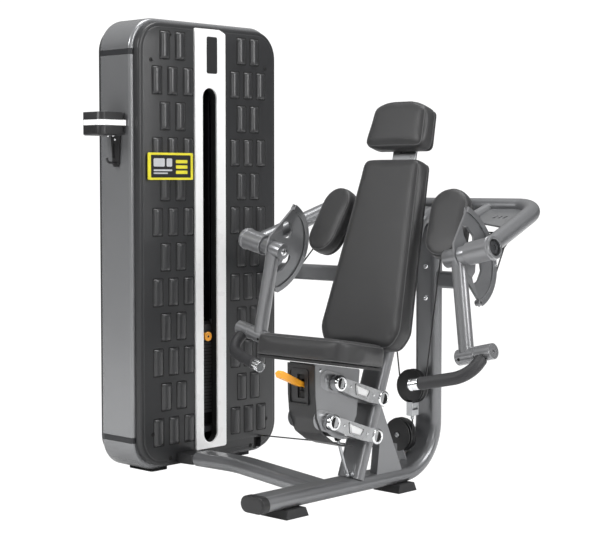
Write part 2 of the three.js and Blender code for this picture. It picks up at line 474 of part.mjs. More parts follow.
const stem = cut(rod([STACK_X, STACK_Y, 187], [STACK_X, STACK_Y, 520], STEM_R, 16), rod([STACK_X + 5, STACK_Y, PIN_Z], [STACK_X + 30, STACK_Y, PIN_Z], 5.5, 14));
part('top_plate_and_stem', union(cut(plate(12), ...verticalBores(400, 600, false)), stem, rod([STACK_X, STACK_Y, 510], [STACK_X, STACK_Y, 532], 20, 16), rod([STACK_X, STACK_Y, 530], [STACK_X, STACK_Y, HEAD_TOP], 8, 14)), 'iron');
part('selector_pin', union(rod([STACK_X + 6, STACK_Y, PIN_Z], [-812, STACK_Y, PIN_Z], 5, 14), rod([-820, STACK_Y, PIN_Z], [-792, STACK_Y, PIN_Z], 13, 18, 11.5)), 'orange');
part('stack_buffer', cut(inXY(rounded(-932, -868, STACK_Y - 147, STACK_Y + 147, 12, 3), BAND_LOW + BAND_T + 0.3, STACK_Z - 0.3, 0), ...verticalBores(100, 200, false)), 'rubber');

// ------------------------------------------------------------------- pulleys
const unitY = [0, 1, 0], unitX = [1, 0, 0];
part('tower_top_pulley_front', pulley(T1.centre, unitX, 52, 44.6, 22, 8), 'black');
part('tower_top_pulley_rear', pulley(T2.centre, unitX, 52, 44.6, 22, 8), 'black');
part('tower_low_pulley', pulley(L1.centre, lowAxis, 34, 27.1, 20, 6), 'black');
part('base_pulley', pulley(B1.centre, V(B1.axis).y < 0 ? V(B1.axis).negate().toArray() : B1.axis, 59, 49.3, 22, 8, 14), 'black');
part('right_corner_pulley', pulley(CR.centre, CR.axis, 41, 35.1, 20, 8), 'black');
part('left_corner_pulley', pulley(CL.centre, CL.axis, 41, 35.1, 20, 8), 'black');
part('right_guide_pulley', pulley(MR.centre, MR.axis, 43, 37.1, 20, 8), 'black');
part('left_guide_pulley', pulley(ML.centre, ML.axis, 43, 37.1, 20, 8), 'black');
part('floating_pulley', pulley(FLOAT, unitY, 59, 49.3, 24, 8, 14), 'black');
const cheek = (y) => union(inXZ([[-12, BLOCK_Z], [12, BLOCK_Z], [12, 300], [-12, 300]], y, y + 4), rod([0, y, FLOAT[2]], [0, y + 4, FLOAT[2]], 56, 18));
part('floating_block', union(cheek(FLOAT[1] + 14.5), cheek(FLOAT[1] - 18.5), rod([0, FLOAT[1] - 21, FLOAT[2]], [0, FLOAT[1] + 21, FLOAT[2]], 8, 12),
  box(-12, 12, FLOAT[1] - 16, FLOAT[1] + 16, BLOCK_Z, BLOCK_Z + 20)), 'black');

// -------------------------------------------------------------------- cables
part('arm_cable', sweep(armCablePath, ring(CABLE_R, 6)), 'cable');
part('stack_cable', sweep(stackRun.points, ring(CABLE_R, 6)), 'cable');

// ---------------------------------------------------------------- arm levers
const inCam = (pts, t0, t1, bevel = 0, holes = []) => place(slab(poly(pts, holes), t1 - t0, bevel), hubAt(t0), [0, 1, 0], B);
const camPlate = inCam([...arc(0, 0, 160, -71, 64, 8), [-24, 42], [-34, 0], [-24, -30]], CAM_T - 4, CAM_T + 4);
const camRim = cut(inCam([...arc(0, 0, CAM_R, -71, 64, 10), ...arc(0, 0, 152, 64, -71, 8)], CAM_T - 9, CAM_T + 9),
  inCam([...arc(0, 0, CAM_R + 10, -76, 70, 6), ...arc(0, 0, CAM_GROOVE, 70, -76, 10)], CAM_T - 3.6, CAM_T + 3.6));
const hubParts = [rod(hubAt(-98), hubAt(-10), 28.5, 12), rod(hubAt(-30), hubAt(84), 17, 12), rod(hubAt(80.5), hubAt(88), 22, 12), rod(hubAt(-104), hubAt(-97), 10, 12)];
const bossTip = rod(hubAt(CAM_T - 9, 49, -150), hubAt(CAM_T + 9, 49, -150), 9, 8);
const crossAt = (t, y = 0, h = 0) => [CROSS[0] + A[0] * t + B[0] * h, CROSS[1] + y, CROSS[2] + A[2] * t + B[2] * h];
let arm = union(camPlate, camRim, ...hubParts, bossTip, rod(hubAt(-52, -2, -12), crossAt(-34, 1, 10), 24, 12), rod(crossAt(-66), crossAt(8), 25, 12));
const SWIVEL_R = 12, SWIVEL_BORE = (SWIVEL_R + 0.06) / Math.cos(Math.PI / 12);
const camHoleUp = inCam(soft([[31, 62, 8], [43, 36, 5], [74, 32, 8], [82, 60, 12], [58, 92, 12], [30, 96, 8]]), CAM_T - 20, CAM_T + 20);
const camHoleLow = inCam(soft([[66, -24, 8], [92, -27, 5], [90, -50, 12], [62, -82, 14], [36, -92, 6], [34, -70, 6], [54, -55, 12]]), CAM_T - 20, CAM_T + 20);
arm = cut(arm, camHoleUp, camHoleLow,
  rod(crossAt(-80), crossAt(20), SWIVEL_BORE, 12));
part('right_arm', arm, 'frame');
part('left_arm', mirrorX(arm), 'frame');

// swivelling handles: collar and shaft in the cross tube, bent bar, bright end
const barRoute = route([crossAt(36), [523, 404, 462], [334, 362, 422]], [0, 78, 0], 5).points;
const barEnd = barRoute[barRoute.length - 1], barDir = barEnd.clone().sub(barRoute[barRoute.length - 2]).normalize();
const tip = barEnd.clone().addScaledVector(barDir, 9), capStart = barEnd.clone().addScaledVector(barDir, -22);
const handle = union(sweep(barRoute, ring(12.5, 10)), rod(crossAt(8.4), crossAt(70), 25, 12), rod(crossAt(-60), crossAt(20), SWIVEL_R, 12), rod(capStart.toArray(), tip.toArray(), 18.5, 12));
part('right_handle', handle, 'chrome');
part('left_handle', mirrorX(handle), 'chrome');
const gripPoints = barRoute.slice();
const firstDir = barRoute[1].clone().sub(barRoute[0]).normalize();
gripPoints[0] = barRoute[0].clone().addScaledVector(firstDir, 27);
gripPoints[gripPoints.length - 1] = barEnd.clone().addScaledVector(barDir, -22.6);
const grip = sweep(gripPoints, ring(20, 12), [ring(13.5, 10).reverse()]);
part('right_grip', grip, 'rubber');
part('left_grip', mirrorX(grip), 'rubber');

// ---------------------------------------------------------------------- seat
const ST = THREE.MathUtils.degToRad(9.5);
const seatV = [0, Math.cos(ST), -Math.sin(ST)], seatN = [0, Math.sin(ST), Math.cos(ST)];
const seatO = add3([0, 190, 552], seatN, -70);
const seatShape = soft([[-186, 0, 60], [186, 0, 60], [196, 90, 60], [150, 276, 40], [-150, 276, 40], [-196, 90, 60]], 4);
part('seat_pad', place(slab(poly(seatShape), 78, 12, 1), seatO, [1, 0, 0], seatV), 'upholstery');
const seatUnder = (y) => seatO[2] + (y - seatO[1]) * (-Math.tan(ST));
const bodyOutline = soft([[221, seatUnder(221) - 0.6, 0], [434, seatUnder(434) - 0.6, 8], [418, 290, 24], [388, 240, 24], [345, 221, 20], [305, 233, 20], [262, 262, 20], [231, 305, 20], [223, 371, 20]], 2);
const cavity = [[230, seatUnder(230) - 7, 0], [470, seatUnder(470) - 7, 0], [470, 180], [328, 180], [296, 250], [256, 290], [240, 318], [232, 371]];
let carriage = cut(inYZ(bodyOutline, -55, 55), inYZ(cavity, -50, 50));
carriage = union(carriage, acrossX(UF, -57, 57, 24), acrossX(LF, -57, 57, 24));
carriage = cut(carriage, acrossX(UF, -70, 70, BORE_R), acrossX(LF, -70, 70, BORE_R), box(-9.5, 9.5, 205, 240, 384, 424));
part('seat_carriage', carriage, 'frame');
const shroudOut = soft([[213, 472, 0], [215, 370, 30], [222, 300, 30], [248, 250, 30], [300, 215, 20], [345, 198, 20], [396, 192, 0]], 4);
const shroudIn = soft([[218, 472, 0], [220, 370.5, 30], [226.9, 302, 30], [251.8, 253.6, 30], [302.2, 219.6, 30], [346.2, 203, 20], [396, 197, 0]], 4).reverse();
let shroud = inYZ([...shroudOut, ...shroudIn], -58, 58);
shroud = cut(shroud, box(-15, 15, 200, 236, 363, 439), box(3, 37, 345, 420, 180, 235), carriage, place(slab(poly([[-200, -50], [200, -50], [200, 300], [-200, 300]]), 60), add3(seatO, seatN, -0.4), [1, 0, 0], seatV));
part('seat_shroud', shroud, 'black');
const LEVER = [244, 400];
const lever = union(
  inYZ(soft([[240, 392, 3], [246, 405, 3], [122, 455, 5], [112, 449, 4], [116, 439, 4]], 2), -7, 7, 1.5),
  acrossX(LEVER, -20, 20, 4, 12));
part('seat_lever', cut(lever, box(-30, 30, 258, 400, 300, 500)), 'orange');

const linkSide = (r0, r1, lo, hi) => {
  const dy = r1[0] - r0[0], dz = r1[1] - r0[1], l = Math.hypot(dy, dz), u = [dy / l, dz / l], n = [-u[1], u[0]];
  const P = (s, t) => [r0[0] + u[0] * s + n[0] * t, r0[1] + u[1] * s + n[1] * t];
  const bodyPts = soft([[0, -21], [l, -21], [l, 21], [l * 0.62, 27], [l * 0.3, 27], [0, 21]].map(([s, t]) => [...P(s, t), 6]), 1);
  const win = soft([[l * 0.34, -8], [l * 0.66, -12], [l * 0.6, 13], [l * 0.38, 13]].map(([s, t]) => [...P(s, t), 3]), 1);
  return cut(union(inYZ(bodyPts, lo + 3, hi - 3), acrossX(r0, lo, hi, 26), acrossX(r1, lo, hi, 26)), inYZ(win, lo - 10, hi + 10),
    acrossX(r0, hi > 0 ? hi - 8 : lo - 10, hi > 0 ? hi + 10 : lo + 8, 15, 12), acrossX(r1, hi > 0 ? hi - 8 : lo - 10, hi > 0 ? hi + 10 : lo + 8, 15, 12));
};
const seatLink = (rear, front) => union(linkSide(rear, front, 60, 86), linkSide(rear, front, -86, -60), acrossX(rear, -70, 70, SHAFT_R), acrossX(front, -70, 70, SHAFT_R));
part('upper_seat_link', seatLink(UR, UF), 'cast');
// the lower link's front shaft is two short stubs that stop outside the carriage bosses
const lowLink = union(linkSide(LR, LF, 60, 86), linkSide(LR, LF, -86, -60), acrossX(LR, -70, 70, SHAFT_R), acrossX(LF, -70, 70, SHAFT_R - 1.5));
part('lower_seat_link', lowLink, 'cast');

// gas spring between the post and the carriage
const G0 = [412, 92], G1 = [318, 352], GAS_X = 20;
const gl = Math.hypot(G1[0] - G0[0], G1[1] - G0[1]), gu = [(G1[0] - G0[0]) / gl, (G1[1] - G0[1]) / gl];
const onGas = (s) => [GAS_X, G0[0] + gu[0] * s, G0[1] + gu[1] * s];
part('gas_spring_rod', union(rod(onGas(0), onGas(190), 5, 12), new THREE.SphereGeometry(8, 10, 7).translate(GAS_X, G0[0], G0[1])), 'chrome');
const gasTube = cut(rod(onGas(gl - 148), onGas(gl - 4), 11, 16), rod(onGas(gl - 160), onGas(gl - 14), 5.6, 12));
part('gas_spring_cylinder', union(gasTube, rod(onGas(gl - 8), onGas(gl + 2), 7, 12), acrossX(G1, -49.6, 49.6, 6, 14)), 'black');

export default group;
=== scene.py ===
import json
import math
import bpy
import bmesh
from mathutils import Matrix, Vector
from mathutils.bvhtree import BVHTree
from mathutils.geometry import tessellate_polygon


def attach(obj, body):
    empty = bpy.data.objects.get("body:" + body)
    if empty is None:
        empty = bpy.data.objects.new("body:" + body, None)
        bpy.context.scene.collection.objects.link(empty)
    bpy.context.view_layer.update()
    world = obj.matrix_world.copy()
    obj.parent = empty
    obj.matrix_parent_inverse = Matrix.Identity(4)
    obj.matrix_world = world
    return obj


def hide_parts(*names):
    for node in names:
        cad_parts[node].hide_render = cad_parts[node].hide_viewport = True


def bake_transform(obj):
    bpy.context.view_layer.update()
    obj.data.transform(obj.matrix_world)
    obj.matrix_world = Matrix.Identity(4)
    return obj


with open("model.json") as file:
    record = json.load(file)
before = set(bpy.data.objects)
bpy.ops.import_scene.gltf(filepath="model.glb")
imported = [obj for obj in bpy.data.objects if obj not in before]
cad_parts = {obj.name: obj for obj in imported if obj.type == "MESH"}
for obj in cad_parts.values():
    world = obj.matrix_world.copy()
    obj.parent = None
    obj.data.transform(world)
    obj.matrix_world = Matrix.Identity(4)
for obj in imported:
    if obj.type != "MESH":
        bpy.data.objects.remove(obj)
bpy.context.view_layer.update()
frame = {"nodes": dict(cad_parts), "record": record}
OFF = Vector((227.64, -458.0, 0.0))          # working frame (mm) to the part's frame


def W(p):
    return (Vector(p) + OFF) / 1000.0


# ------------------------------------------------------------------ materials
MATS = {}


def material(name, color, metallic=0.0, rough=0.5, vary=0.08, vary_scale=9.0, rough_vary=0.06,
             grain=900.0, grain_depth=0.00004, grain_kind="noise", coat=0.0, sheen=0.0, wear=None, spec=0.5,
             second=None):
    m = bpy.data.materials.new(name)
    m.use_nodes = True
    nt = m.node_tree
    nt.nodes.clear()
    N, L = nt.nodes.new, nt.links.new
    out = N("ShaderNodeOutputMaterial")
    bs = N("ShaderNodeBsdfPrincipled")
    L(bs.outputs[0], out.inputs[0])
    bs.inputs["Metallic"].default_value = metallic
    bs.inputs["Coat Weight"].default_value = coat
    bs.inputs["Coat Roughness"].default_value = 0.12
    bs.inputs["Sheen Weight"].default_value = sheen
    bs.inputs["Sheen Roughness"].default_value = 0.5
    bs.inputs["Specular IOR Level"].default_value = spec
    tc = N("ShaderNodeTexCoord")
    big = N("ShaderNodeTexNoise")
    big.inputs["Scale"].default_value = vary_scale
    big.inputs["Detail"].default_value = 5.0
    L(tc.outputs["Object"], big.inputs["Vector"])
    ramp = N("ShaderNodeValToRGB")
    lo = [c * (1 - vary) for c in color[:3]]
    hi = [min(1.0, c * (1 + vary)) for c in color[:3]]
    ramp.color_ramp.elements[0].position = 0.3
    ramp.color_ramp.elements[1].position = 0.7
    ramp.color_ramp.elements[0].color = (*lo, 1)
    ramp.color_ramp.elements[1].color = (*hi, 1)
    L(big.outputs["Fac"], ramp.inputs["Fac"])
    col = ramp.outputs["Color"]
    if second:                                # fine speckle, such as metallic flakes or moulded grain
        fl = N("ShaderNodeTexNoise")
        fl.inputs["Scale"].default_value = second[1]
        fl.inputs["Detail"].default_value = 2.0
        L(tc.outputs["Object"], fl.inputs["Vector"])
        mr = N("ShaderNodeMapRange")
        mr.inputs["From Min"].default_value = 0.45
        mr.inputs["From Max"].default_value = 0.62
        mr.inputs["To Max"].default_value = second[2]
        L(fl.outputs["Fac"], mr.inputs["Value"])
        mx = N("ShaderNodeMix")
        mx.data_type = "RGBA"
        L(mr.outputs["Result"], mx.inputs["Factor"])
        L(col, mx.inputs["A"])
        mx.inputs["B"].default_value = (*second[0], 1)
        col = mx.outputs["Result"]
    if wear:                                  # lighter edges where the finish is rubbed
        geo = N("ShaderNodeNewGeometry")
        mr = N("ShaderNodeMapRange")
        mr.inputs["From Min"].default_value = 0.515
        mr.inputs["From Max"].default_value = 0.60
        mr.inputs["To Max"].default_value = wear[1]
        L(geo.outputs["Pointiness"], mr.inputs["Value"])
        mx = N("ShaderNodeMix")
        mx.data_type = "RGBA"
        L(mr.outputs["Result"], mx.inputs["Factor"])
        L(col, mx.inputs["A"])
        mx.inputs["B"].default_value = (*wear[0], 1)
        col = mx.outputs["Result"]
    L(col, bs.inputs["Base Color"])
    rr = N("ShaderNodeMapRange")
    rr.inputs["To Min"].default_value = max(0.02, rough - rough_vary)
    rr.inputs["To Max"].default_value = min(1.0, rough + rough_vary)
    rn = N("ShaderNodeTexNoise")
    rn.inputs["Scale"].default_value = vary_scale * 3.3
    rn.inputs["Detail"].default_value = 6.0
    L(tc.outputs["Object"], rn.inputs["Vector"])
    L(rn.outputs["Fac"], rr.inputs["Value"])
    L(rr.outputs["Result"], bs.inputs["Roughness"])
    if grain:
        bump = N("ShaderNodeBump")
        bump.inputs["Strength"].default_value = 1.0
        bump.inputs["Distance"].default_value = grain_depth
        if grain_kind == "voronoi":
            t = N("ShaderNodeTexVoronoi")
            t.feature = "SMOOTH_F1"
            t.inputs["Scale"].default_value = grain
            t.inputs["Smoothness"].default_value = 0.6
            L(tc.outputs["Object"], t.inputs["Vector"])
            src = t.outputs["Distance"]
        elif grain_kind == "leather":
            t = N("ShaderNodeTexVoronoi")
            t.feature = "DISTANCE_TO_EDGE"
            t.inputs["Scale"].default_value = grain
            wob = N("ShaderNodeTexNoise")
            wob.inputs["Scale"].default_value = grain * 0.6
            add = N("ShaderNodeVectorMath")
            add.operation = "MULTIPLY_ADD"
            L(tc.outputs["Object"], wob.inputs["Vector"])
            L(wob.outputs["Color"], add.inputs[0])
            add.inputs[1].default_value = (0.0012, 0.0012, 0.0012)
            L(tc.outputs["Object"], add.inputs[2])
            L(add.outputs[0], t.inputs["Vector"])
            cr = N("ShaderNodeValToRGB")
            cr.color_ramp.elements[0].position = 0.0
            cr.color_ramp.elements[1].position = 0.22
            L(t.outputs["Distance"], cr.inputs["Fac"])
            src = cr.outputs["Color"]
        elif grain_kind == "brushed":
            mp = N("ShaderNodeMapping")
            mp.inputs["Scale"].default_value = (1.0, 1.0, 0.04)
            t = N("ShaderNodeTexNoise")
            t.inputs["Scale"].default_value = grain
            t.inputs["Detail"].default_value = 4.0
            L(tc.outputs["Object"], mp.inputs["Vector"])
            L(mp.outputs["Vector"], t.inputs["Vector"])
            src = t.outputs["Fac"]
        else:
            t = N("ShaderNodeTexNoise")
            t.inputs["Scale"].default_value = grain
            t.inputs["Detail"].default_value = 3.0
            L(tc.outputs["Object"], t.inputs["Vector"])
            src = t.outputs["Fac"]
        L(src, bump.inputs["Height"])
        L(bump.outputs[0], bs.inputs["Normal"])
    MATS[name] = m
    return m


material("frame", (0.178, 0.181, 0.188), 0.55, 0.32, 0.04, 5.0, 0.04, 700, 0.00002, second=((0.30, 0.31, 0.32), 2600, 0.3), wear=((0.42, 0.42, 0.43), 0.35), coat=0.35)
material("tower", (0.235, 0.238, 0.245), 0.50, 0.24, 0.03, 4.0, 0.04, 700, 0.00002, second=((0.28, 0.29, 0.30), 2600, 0.3), wear=((0.42, 0.42, 0.43), 0.3), coat=0.4)
material("band", (0.030, 0.031, 0.034), 0.2, 0.42, 0.08, 8.0)
material("cover", (0.026, 0.0265, 0.028), 0.0, 0.33, 0.10, 5.0, 0.06, 1400, 0.00006, second=((0.045, 0.046, 0.048), 1800, 0.4), spec=0.5)
material("white", (0.99, 0.99, 0.99), 0.0, 0.28, 0.004, 6.0, 0.03, 500, 0.000008, coat=0.3)
material("black", (0.014, 0.014, 0.015), 0.0, 0.40, 0.12, 11.0, 0.08, 1500, 0.00005, second=((0.030, 0.030, 0.031), 2200, 0.4))
material("rubber", (0.028, 0.028, 0.030), 0.0, 0.66, 0.12, 14.0, 0.08, 1100, 0.00010, grain_kind="voronoi", wear=((0.07, 0.07, 0.07), 0.4))
material("grip", (0.022, 0.022, 0.024), 0.0, 0.55, 0.12, 22.0, 0.08, 1300, 0.00012, grain_kind="voronoi")
material("upholstery", (0.025, 0.025, 0.026), 0.0, 0.43, 0.08, 6.0, 0.06, 620, 0.00008, grain_kind="leather", sheen=0.05)
# piping colour, lighter than the upholstery: painted highlight along the pads' piped edges
material("seam", (0.075, 0.075, 0.077), 0.0, 0.42, 0.10, 9.0, 0.07, 900, 0.00005, grain_kind="leather")
material("board", (0.018, 0.018, 0.019), 0.0, 0.6, 0.10, 9.0, 0.07, 900, 0.00005)
material("chrome", (0.86, 0.87, 0.88), 1.0, 0.07, 0.02, 12.0, 0.03, 300, 0.000005)
material("insert", (0.86, 0.86, 0.86), 0.1, 0.30, 0.03, 30.0, 0.05, 600, 0.00001)
material("cast", (0.33, 0.335, 0.34), 1.0, 0.22, 0.16, 34.0, 0.10, 420, 0.00012, wear=((0.90, 0.90, 0.90), 0.5))
material("steel", (0.46, 0.47, 0.48), 1.0, 0.30, 0.06, 20.0, 0.08, 1300, 0.00002, grain_kind="brushed")
material("tile", (0.025, 0.0255, 0.027), 0.0, 0.31, 0.10, 5.0, 0.05, 1400, 0.00005, second=((0.045, 0.046, 0.048), 1800, 0.4), spec=0.7)
# weight plates' iron, set lighter than its own grey to make up for the little light reaching the stack inside the
# tower: painted light
material("iron", (0.150, 0.150, 0.154), 0.3, 0.42, 0.15, 14.0, 0.08, 900, 0.00008)
material("orange", (0.90, 0.38, 0.022), 0.0, 0.34, 0.05, 16.0, 0.05, 1200, 0.00003, coat=0.1)
material("yellow", (0.80, 0.72, 0.045), 0.0, 0.34, 0.05, 16.0, 0.05, 1200, 0.00002)
material("cable", (0.012, 0.012, 0.013), 0.0, 0.42, 0.1, 40.0, 0.06, 1600, 0.00005)
# near-black: the finish of small dark parts, and also painted shade in recesses, bores, sockets, the slot and openings
material("dark", (0.006, 0.006, 0.006), 0.0, 0.7, 0.1, 10.0, 0.05, 900, 0.00003)
material("panel", (0.020, 0.020, 0.023), 0.0, 0.30, 0.06, 8.0, 0.05, 900, 0.00001, coat=0.3)
material("print_grey", (0.55, 0.56, 0.58), 0.0, 0.4, 0.04, 30.0, 0.05, 900, 0.00001)


# ------------------------------------------------------------------- geometry
def arc(cx, cy, r, d0, d1, n):
    return [(cx + r * math.cos(math.radians(d0 + (d1 - d0) * i / n)), cy + r * math.sin(math.radians(d0 + (d1 - d0) * i / n))) for i in range(n + 1)]


def rounded(x0, x1, y0, y1, r, n=8):
    return arc(x1 - r, y1 - r, r, 0, 90, n) + arc(x0 + r, y1 - r, r, 90, 180, n) + arc(x0 + r, y0 + r, r, 180, 270, n) + arc(x1 - r, y0 + r, r, 270, 360, n)


def ring(r, n=32, a0=0.0):
    return [(r * math.cos(a0 + 2 * math.pi * i / n), r * math.sin(a0 + 2 * math.pi * i / n)) for i in range(n)]


def soft(points, n=6):
    out, m = [], len(points)
    for i in range(m):
        p = Vector(points[i][:2])
        r = points[i][2] if len(points[i]) > 2 else 0
        if not r:
            out.append(tuple(p))
            continue
        a, b = Vector(points[i - 1][:2]) - p, Vector(points[(i + 1) % m][:2]) - p
        la, lb = a.length, b.length
        a.normalize(); b.normalize()
        half = math.acos(max(-1, min(1, a.dot(b)))) / 2
        t = min(r / math.tan(half), la * 0.49, lb * 0.49)
        s, e = p + a * t, p + b * t
        for k in range(n + 1):
            u = k / n
            out.append(tuple(s * (1 - u) ** 2 + p * 2 * u * (1 - u) + e * u * u))
    return out


def dedupe(pts, eps=0.02):
    out = []
    for p in pts:
        if not out or (Vector(p) - Vector(out[-1])).length > eps:
            out.append(p)
    while len(out) > 2 and (Vector(out[0]) - Vector(out[-1])).length <= eps:
        out.pop()
    return out


def area2(pts):
    return sum(pts[i - 1][0] * pts[i][1] - pts[i][0] * pts[i - 1][1] for i in range(len(pts)))


def offset(pts, d):
    """moves a counter-clockwise outline inwards by d"""
    n, out = len(pts), []
    for i in range(n):
        p, a, b = Vector(pts[i]), Vector(pts[i - 1]), Vector(pts[(i + 1) % n])
        u, v = (p - a).normalized(), (b - p).normalized()
        nu, nv = Vector((-u.y, u.x)), Vector((-v.y, v.x))
        m = nu + nv
        m = m / max(0.35, m.length_squared / 2)
        out.append(tuple(p + m * d))
    return out


def extrude(pts, o, u, v, depth, holes=()):
    """outline in (u, v) at o, thick along u x v"""
    pts = dedupe(pts)
    if area2(pts) < 0:
        pts = pts[::-1]
    hs = []
    for h in holes:
        h = dedupe(h)
        hs.append(h[::-1] if area2(h) > 0 else h)
    u, v = Vector(u).normalized(), Vector(v).normalized()
    w = u.cross(v).normalized()
    o = Vector(o)
    loops = [pts] + hs
    verts, faces, base = [], [], []
    for lp in loops:
        base.append(len(verts))
        verts += [o + u * p[0] + v * p[1] for p in lp]
    half = len(verts)
    verts += [p + w * depth for p in verts[:half]]
    if hs:
        tris = tessellate_polygon([[Vector((p[0], p[1], 0)) for p in lp] for lp in loops])
        flat = [p for lp in loops for p in lp]
        for t in tris:
            a, b, c = (flat[i] for i in t)
            if (b[0] - a[0]) * (c[1] - a[1]) - (c[0] - a[0]) * (b[1] - a[1]) < 0:
                t = (t[0], t[2], t[1])
            faces.append((t[0], t[2], t[1]))
            faces.append((t[0] + half, t[1] + half, t[2] + half))
    else:
        n = len(pts)
        faces.append(tuple(range(n - 1, -1, -1)))
        faces.append(tuple(range(half, half + n)))
    for b, lp in zip(base, loops):
        n = len(lp)
        for i in range(n):
            j = (i + 1) % n
            faces.append((b + i, b + j, b + j + half, b + i + half))
    return verts, faces


def inYZ(pts, x0, x1, holes=()):
    return extrude(pts, (x0, 0, 0), (0, 1, 0), (0, 0, 1), x1 - x0, holes)


def inXZ(pts, y0, y1, holes=()):
    return extrude(pts, (0, y1, 0), (1, 0, 0), (0, 0, 1), y1 - y0, holes)


def inXY(pts, z0, z1, holes=()):
    return extrude(pts, (0, 0, z0), (1, 0, 0), (0, 1, 0), z1 - z0, holes)


def box(x0, x1, y0, y1, z0, z1):
    return inXY([(x0, y0), (x1, y0), (x1, y1), (x0, y1)], z0, z1)


def lathe(profile, c, axis, n=40, closed=False, a0=0.0, a1=360.0):
    """profile of (radius, height); closed profiles make rings, open ones start and end on the axis"""
    ax = Vector(axis).normalized()
    t = Vector((0, 0, 1)) if abs(ax.z) < 0.9 else Vector((1, 0, 0))
    u = ax.cross(t).normalized()
    v = ax.cross(u).normalized()
    c = Vector(c)
    verts, faces, rows = [], [], []
    full = abs(a1 - a0) >= 359.9
    steps = n if full else n + 1
    for r, h in profile:
        if r < 1e-6:
            rows.append([len(verts)])
            verts.append(c + ax * h)
            continue
        rows.append(list(range(len(verts), len(verts) + steps)))
        for i in range(steps):
            a = math.radians(a0 + (a1 - a0) * i / n)
            verts.append(c + ax * h + u * (r * math.cos(a)) + v * (r * math.sin(a)))
    m = len(rows)
    for k in range(m if closed else m - 1):
        A, B = rows[k], rows[(k + 1) % m]
        for i in range(n):
            j = (i + 1) % n if full else i + 1
            if len(A) == 1 and len(B) == 1:
                continue
            if len(A) == 1:
                faces.append((A[0], B[i], B[j]))
            elif len(B) == 1:
                faces.append((A[i], B[0], A[j]))
            else:
                faces.append((A[i], B[i], B[j], A[j]))
    return verts, faces


def rod(p, q, r, n=32, r2=None, ch=0.0):
    p, q = Vector(p), Vector(q)
    l = (q - p).length
    r2 = r if r2 is None else r2
    if ch:
        prof = [(0, 0), (r - ch, 0), (r - ch * 0.3, ch * 0.3), (r, ch), (r2, l - ch), (r2 - ch * 0.3, l - ch * 0.3), (r2 - ch, l), (0, l)]
    else:
        prof = [(0, 0), (r, 0), (r2, l), (0, l)]
    return lathe(prof, p, q - p, n)


def fillet(points, radii, n=12):
    out = [Vector(points[0])]
    for i in range(1, len(points) - 1):
        p = Vector(points[i])
        r = radii[i]
        if not r:
            out.append(p)
            continue
        a, b = (Vector(points[i - 1]) - p).normalized(), (Vector(points[i + 1]) - p).normalized()
        half = math.acos(max(-1, min(1, a.dot(b)))) / 2
        t = r / math.tan(half)
        c = p + (a + b).normalized() * (r / math.sin(half))
        s, e = p + a * t, p + b * t
        ax = (s - c).cross(e - c).normalized()
        turn = math.pi - 2 * half
        for k in range(n + 1):
            out.append(Matrix.Rotation(turn * k / n, 3, ax) @ (s - c) + c)
    out.append(Vector(points[-1]))
    return out


def sweep(path, section, right, caps=True, closed_path=False):
    """section (x along right, y along the other normal) swept along the path with the least twist"""
    path = [Vector(p) for p in path]
    n = len(path)
    tang = []
    for i in range(n):
        a = path[i] - path[i - 1] if (i > 0 or closed_path) else Vector((0, 0, 0))
        b = path[(i + 1) % n] - path[i] if (i < n - 1 or closed_path) else Vector((0, 0, 0))
        tang.append((a.normalized() + b.normalized()).normalized() if a.length and b.length else (a if a.length else b).normalized())
    r = Vector(right)
    r = (r - tang[0] * r.dot(tang[0])).normalized()
    verts, faces = [], []
    k = len(section)
    for i in range(n):
        if i:
            q = tang[i - 1].rotation_difference(tang[i])
            r = q @ r
            r = (r - tang[i] * r.dot(tang[i])).normalized()
        s = tang[i].cross(r)
        verts += [path[i] + r * x + s * y for x, y in section]
    for i in range(n if closed_path else n - 1):
        a, b = i * k, ((i + 1) % n) * k
        for j in range(k):
            jj = (j + 1) % k
            faces.append((a + j, a + jj, b + jj, b + j))
    if caps and not closed_path:
        faces.append(tuple(range(k - 1, -1, -1)))
        faces.append(tuple(range((n - 1) * k, n * k)))
    return verts, faces


def oval(t, w, n=12):
    """flat-oval section, t the half thickness along x, w the half width along y"""
    return arc(0, w - t, t, 0, 180, n) + arc(0, -(w - t), t, 180, 360, n)


def flipx(shell):
    return [Vector((-p[0], p[1], p[2])) for p in shell[0]], [tuple(reversed(f)) for f in shell[1]]


def build(name, shells, mat, body, replaces=(), bevel=0.0, seg=2, angle=38.0, limit=32.0, smooth=True, clamp=True, mirror=False):
    """one mesh object out of closed shells; mats may be one name or one for each shell"""
    if mirror:
        shells = [flipx(s) for s in shells]
    mats = [mat] * len(shells) if isinstance(mat, str) else mat
    used = []
    for m in mats:
        if m not in used:
            used.append(m)
    verts, faces, idx = [], [], []
    for s, m in zip(shells, mats):
        b = len(verts)
        verts += [W(p) for p in s[0]]
        faces += [tuple(b + i for i in f) for f in s[1]]
        idx += [used.index(m)] * len(s[1])
    me = bpy.data.meshes.new(name)
    me.from_pydata(verts, [], faces)
    for m in used:
        me.materials.append(MATS[m])
    me.polygons.foreach_set("material_index", idx)
    bm = bmesh.new()
    bm.from_mesh(me)
    bmesh.ops.dissolve_degenerate(bm, dist=1e-6, edges=bm.edges)
    bmesh.ops.recalc_face_normals(bm, faces=bm.faces)
    for f in bm.faces:
        f.smooth = smooth
    lim = math.radians(angle)
    for e in bm.edges:
        e.smooth = not (len(e.link_faces) == 2 and e.calc_face_angle(0) > lim)
    bm.to_mesh(me)
    bm.free()
    o = bpy.data.objects.new(name, me)
    bpy.context.scene.collection.objects.link(o)
    if bevel:
        md = o.modifiers.new("edges", "BEVEL")
        md.width = bevel / 1000
        md.segments = seg
        md.limit_method = "ANGLE"
        md.angle_limit = math.radians(limit)
        md.use_clamp_overlap = clamp
        md.harden_normals = False
        wn = o.modifiers.new("normals", "WEIGHTED_NORMAL")
        wn.keep_sharp = False
        wn.weight = 80
        for e in me.edges:
            e.use_edge_sharp = False
    if body:
        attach(o, body)
    if replaces:
        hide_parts(*replaces)
    return o


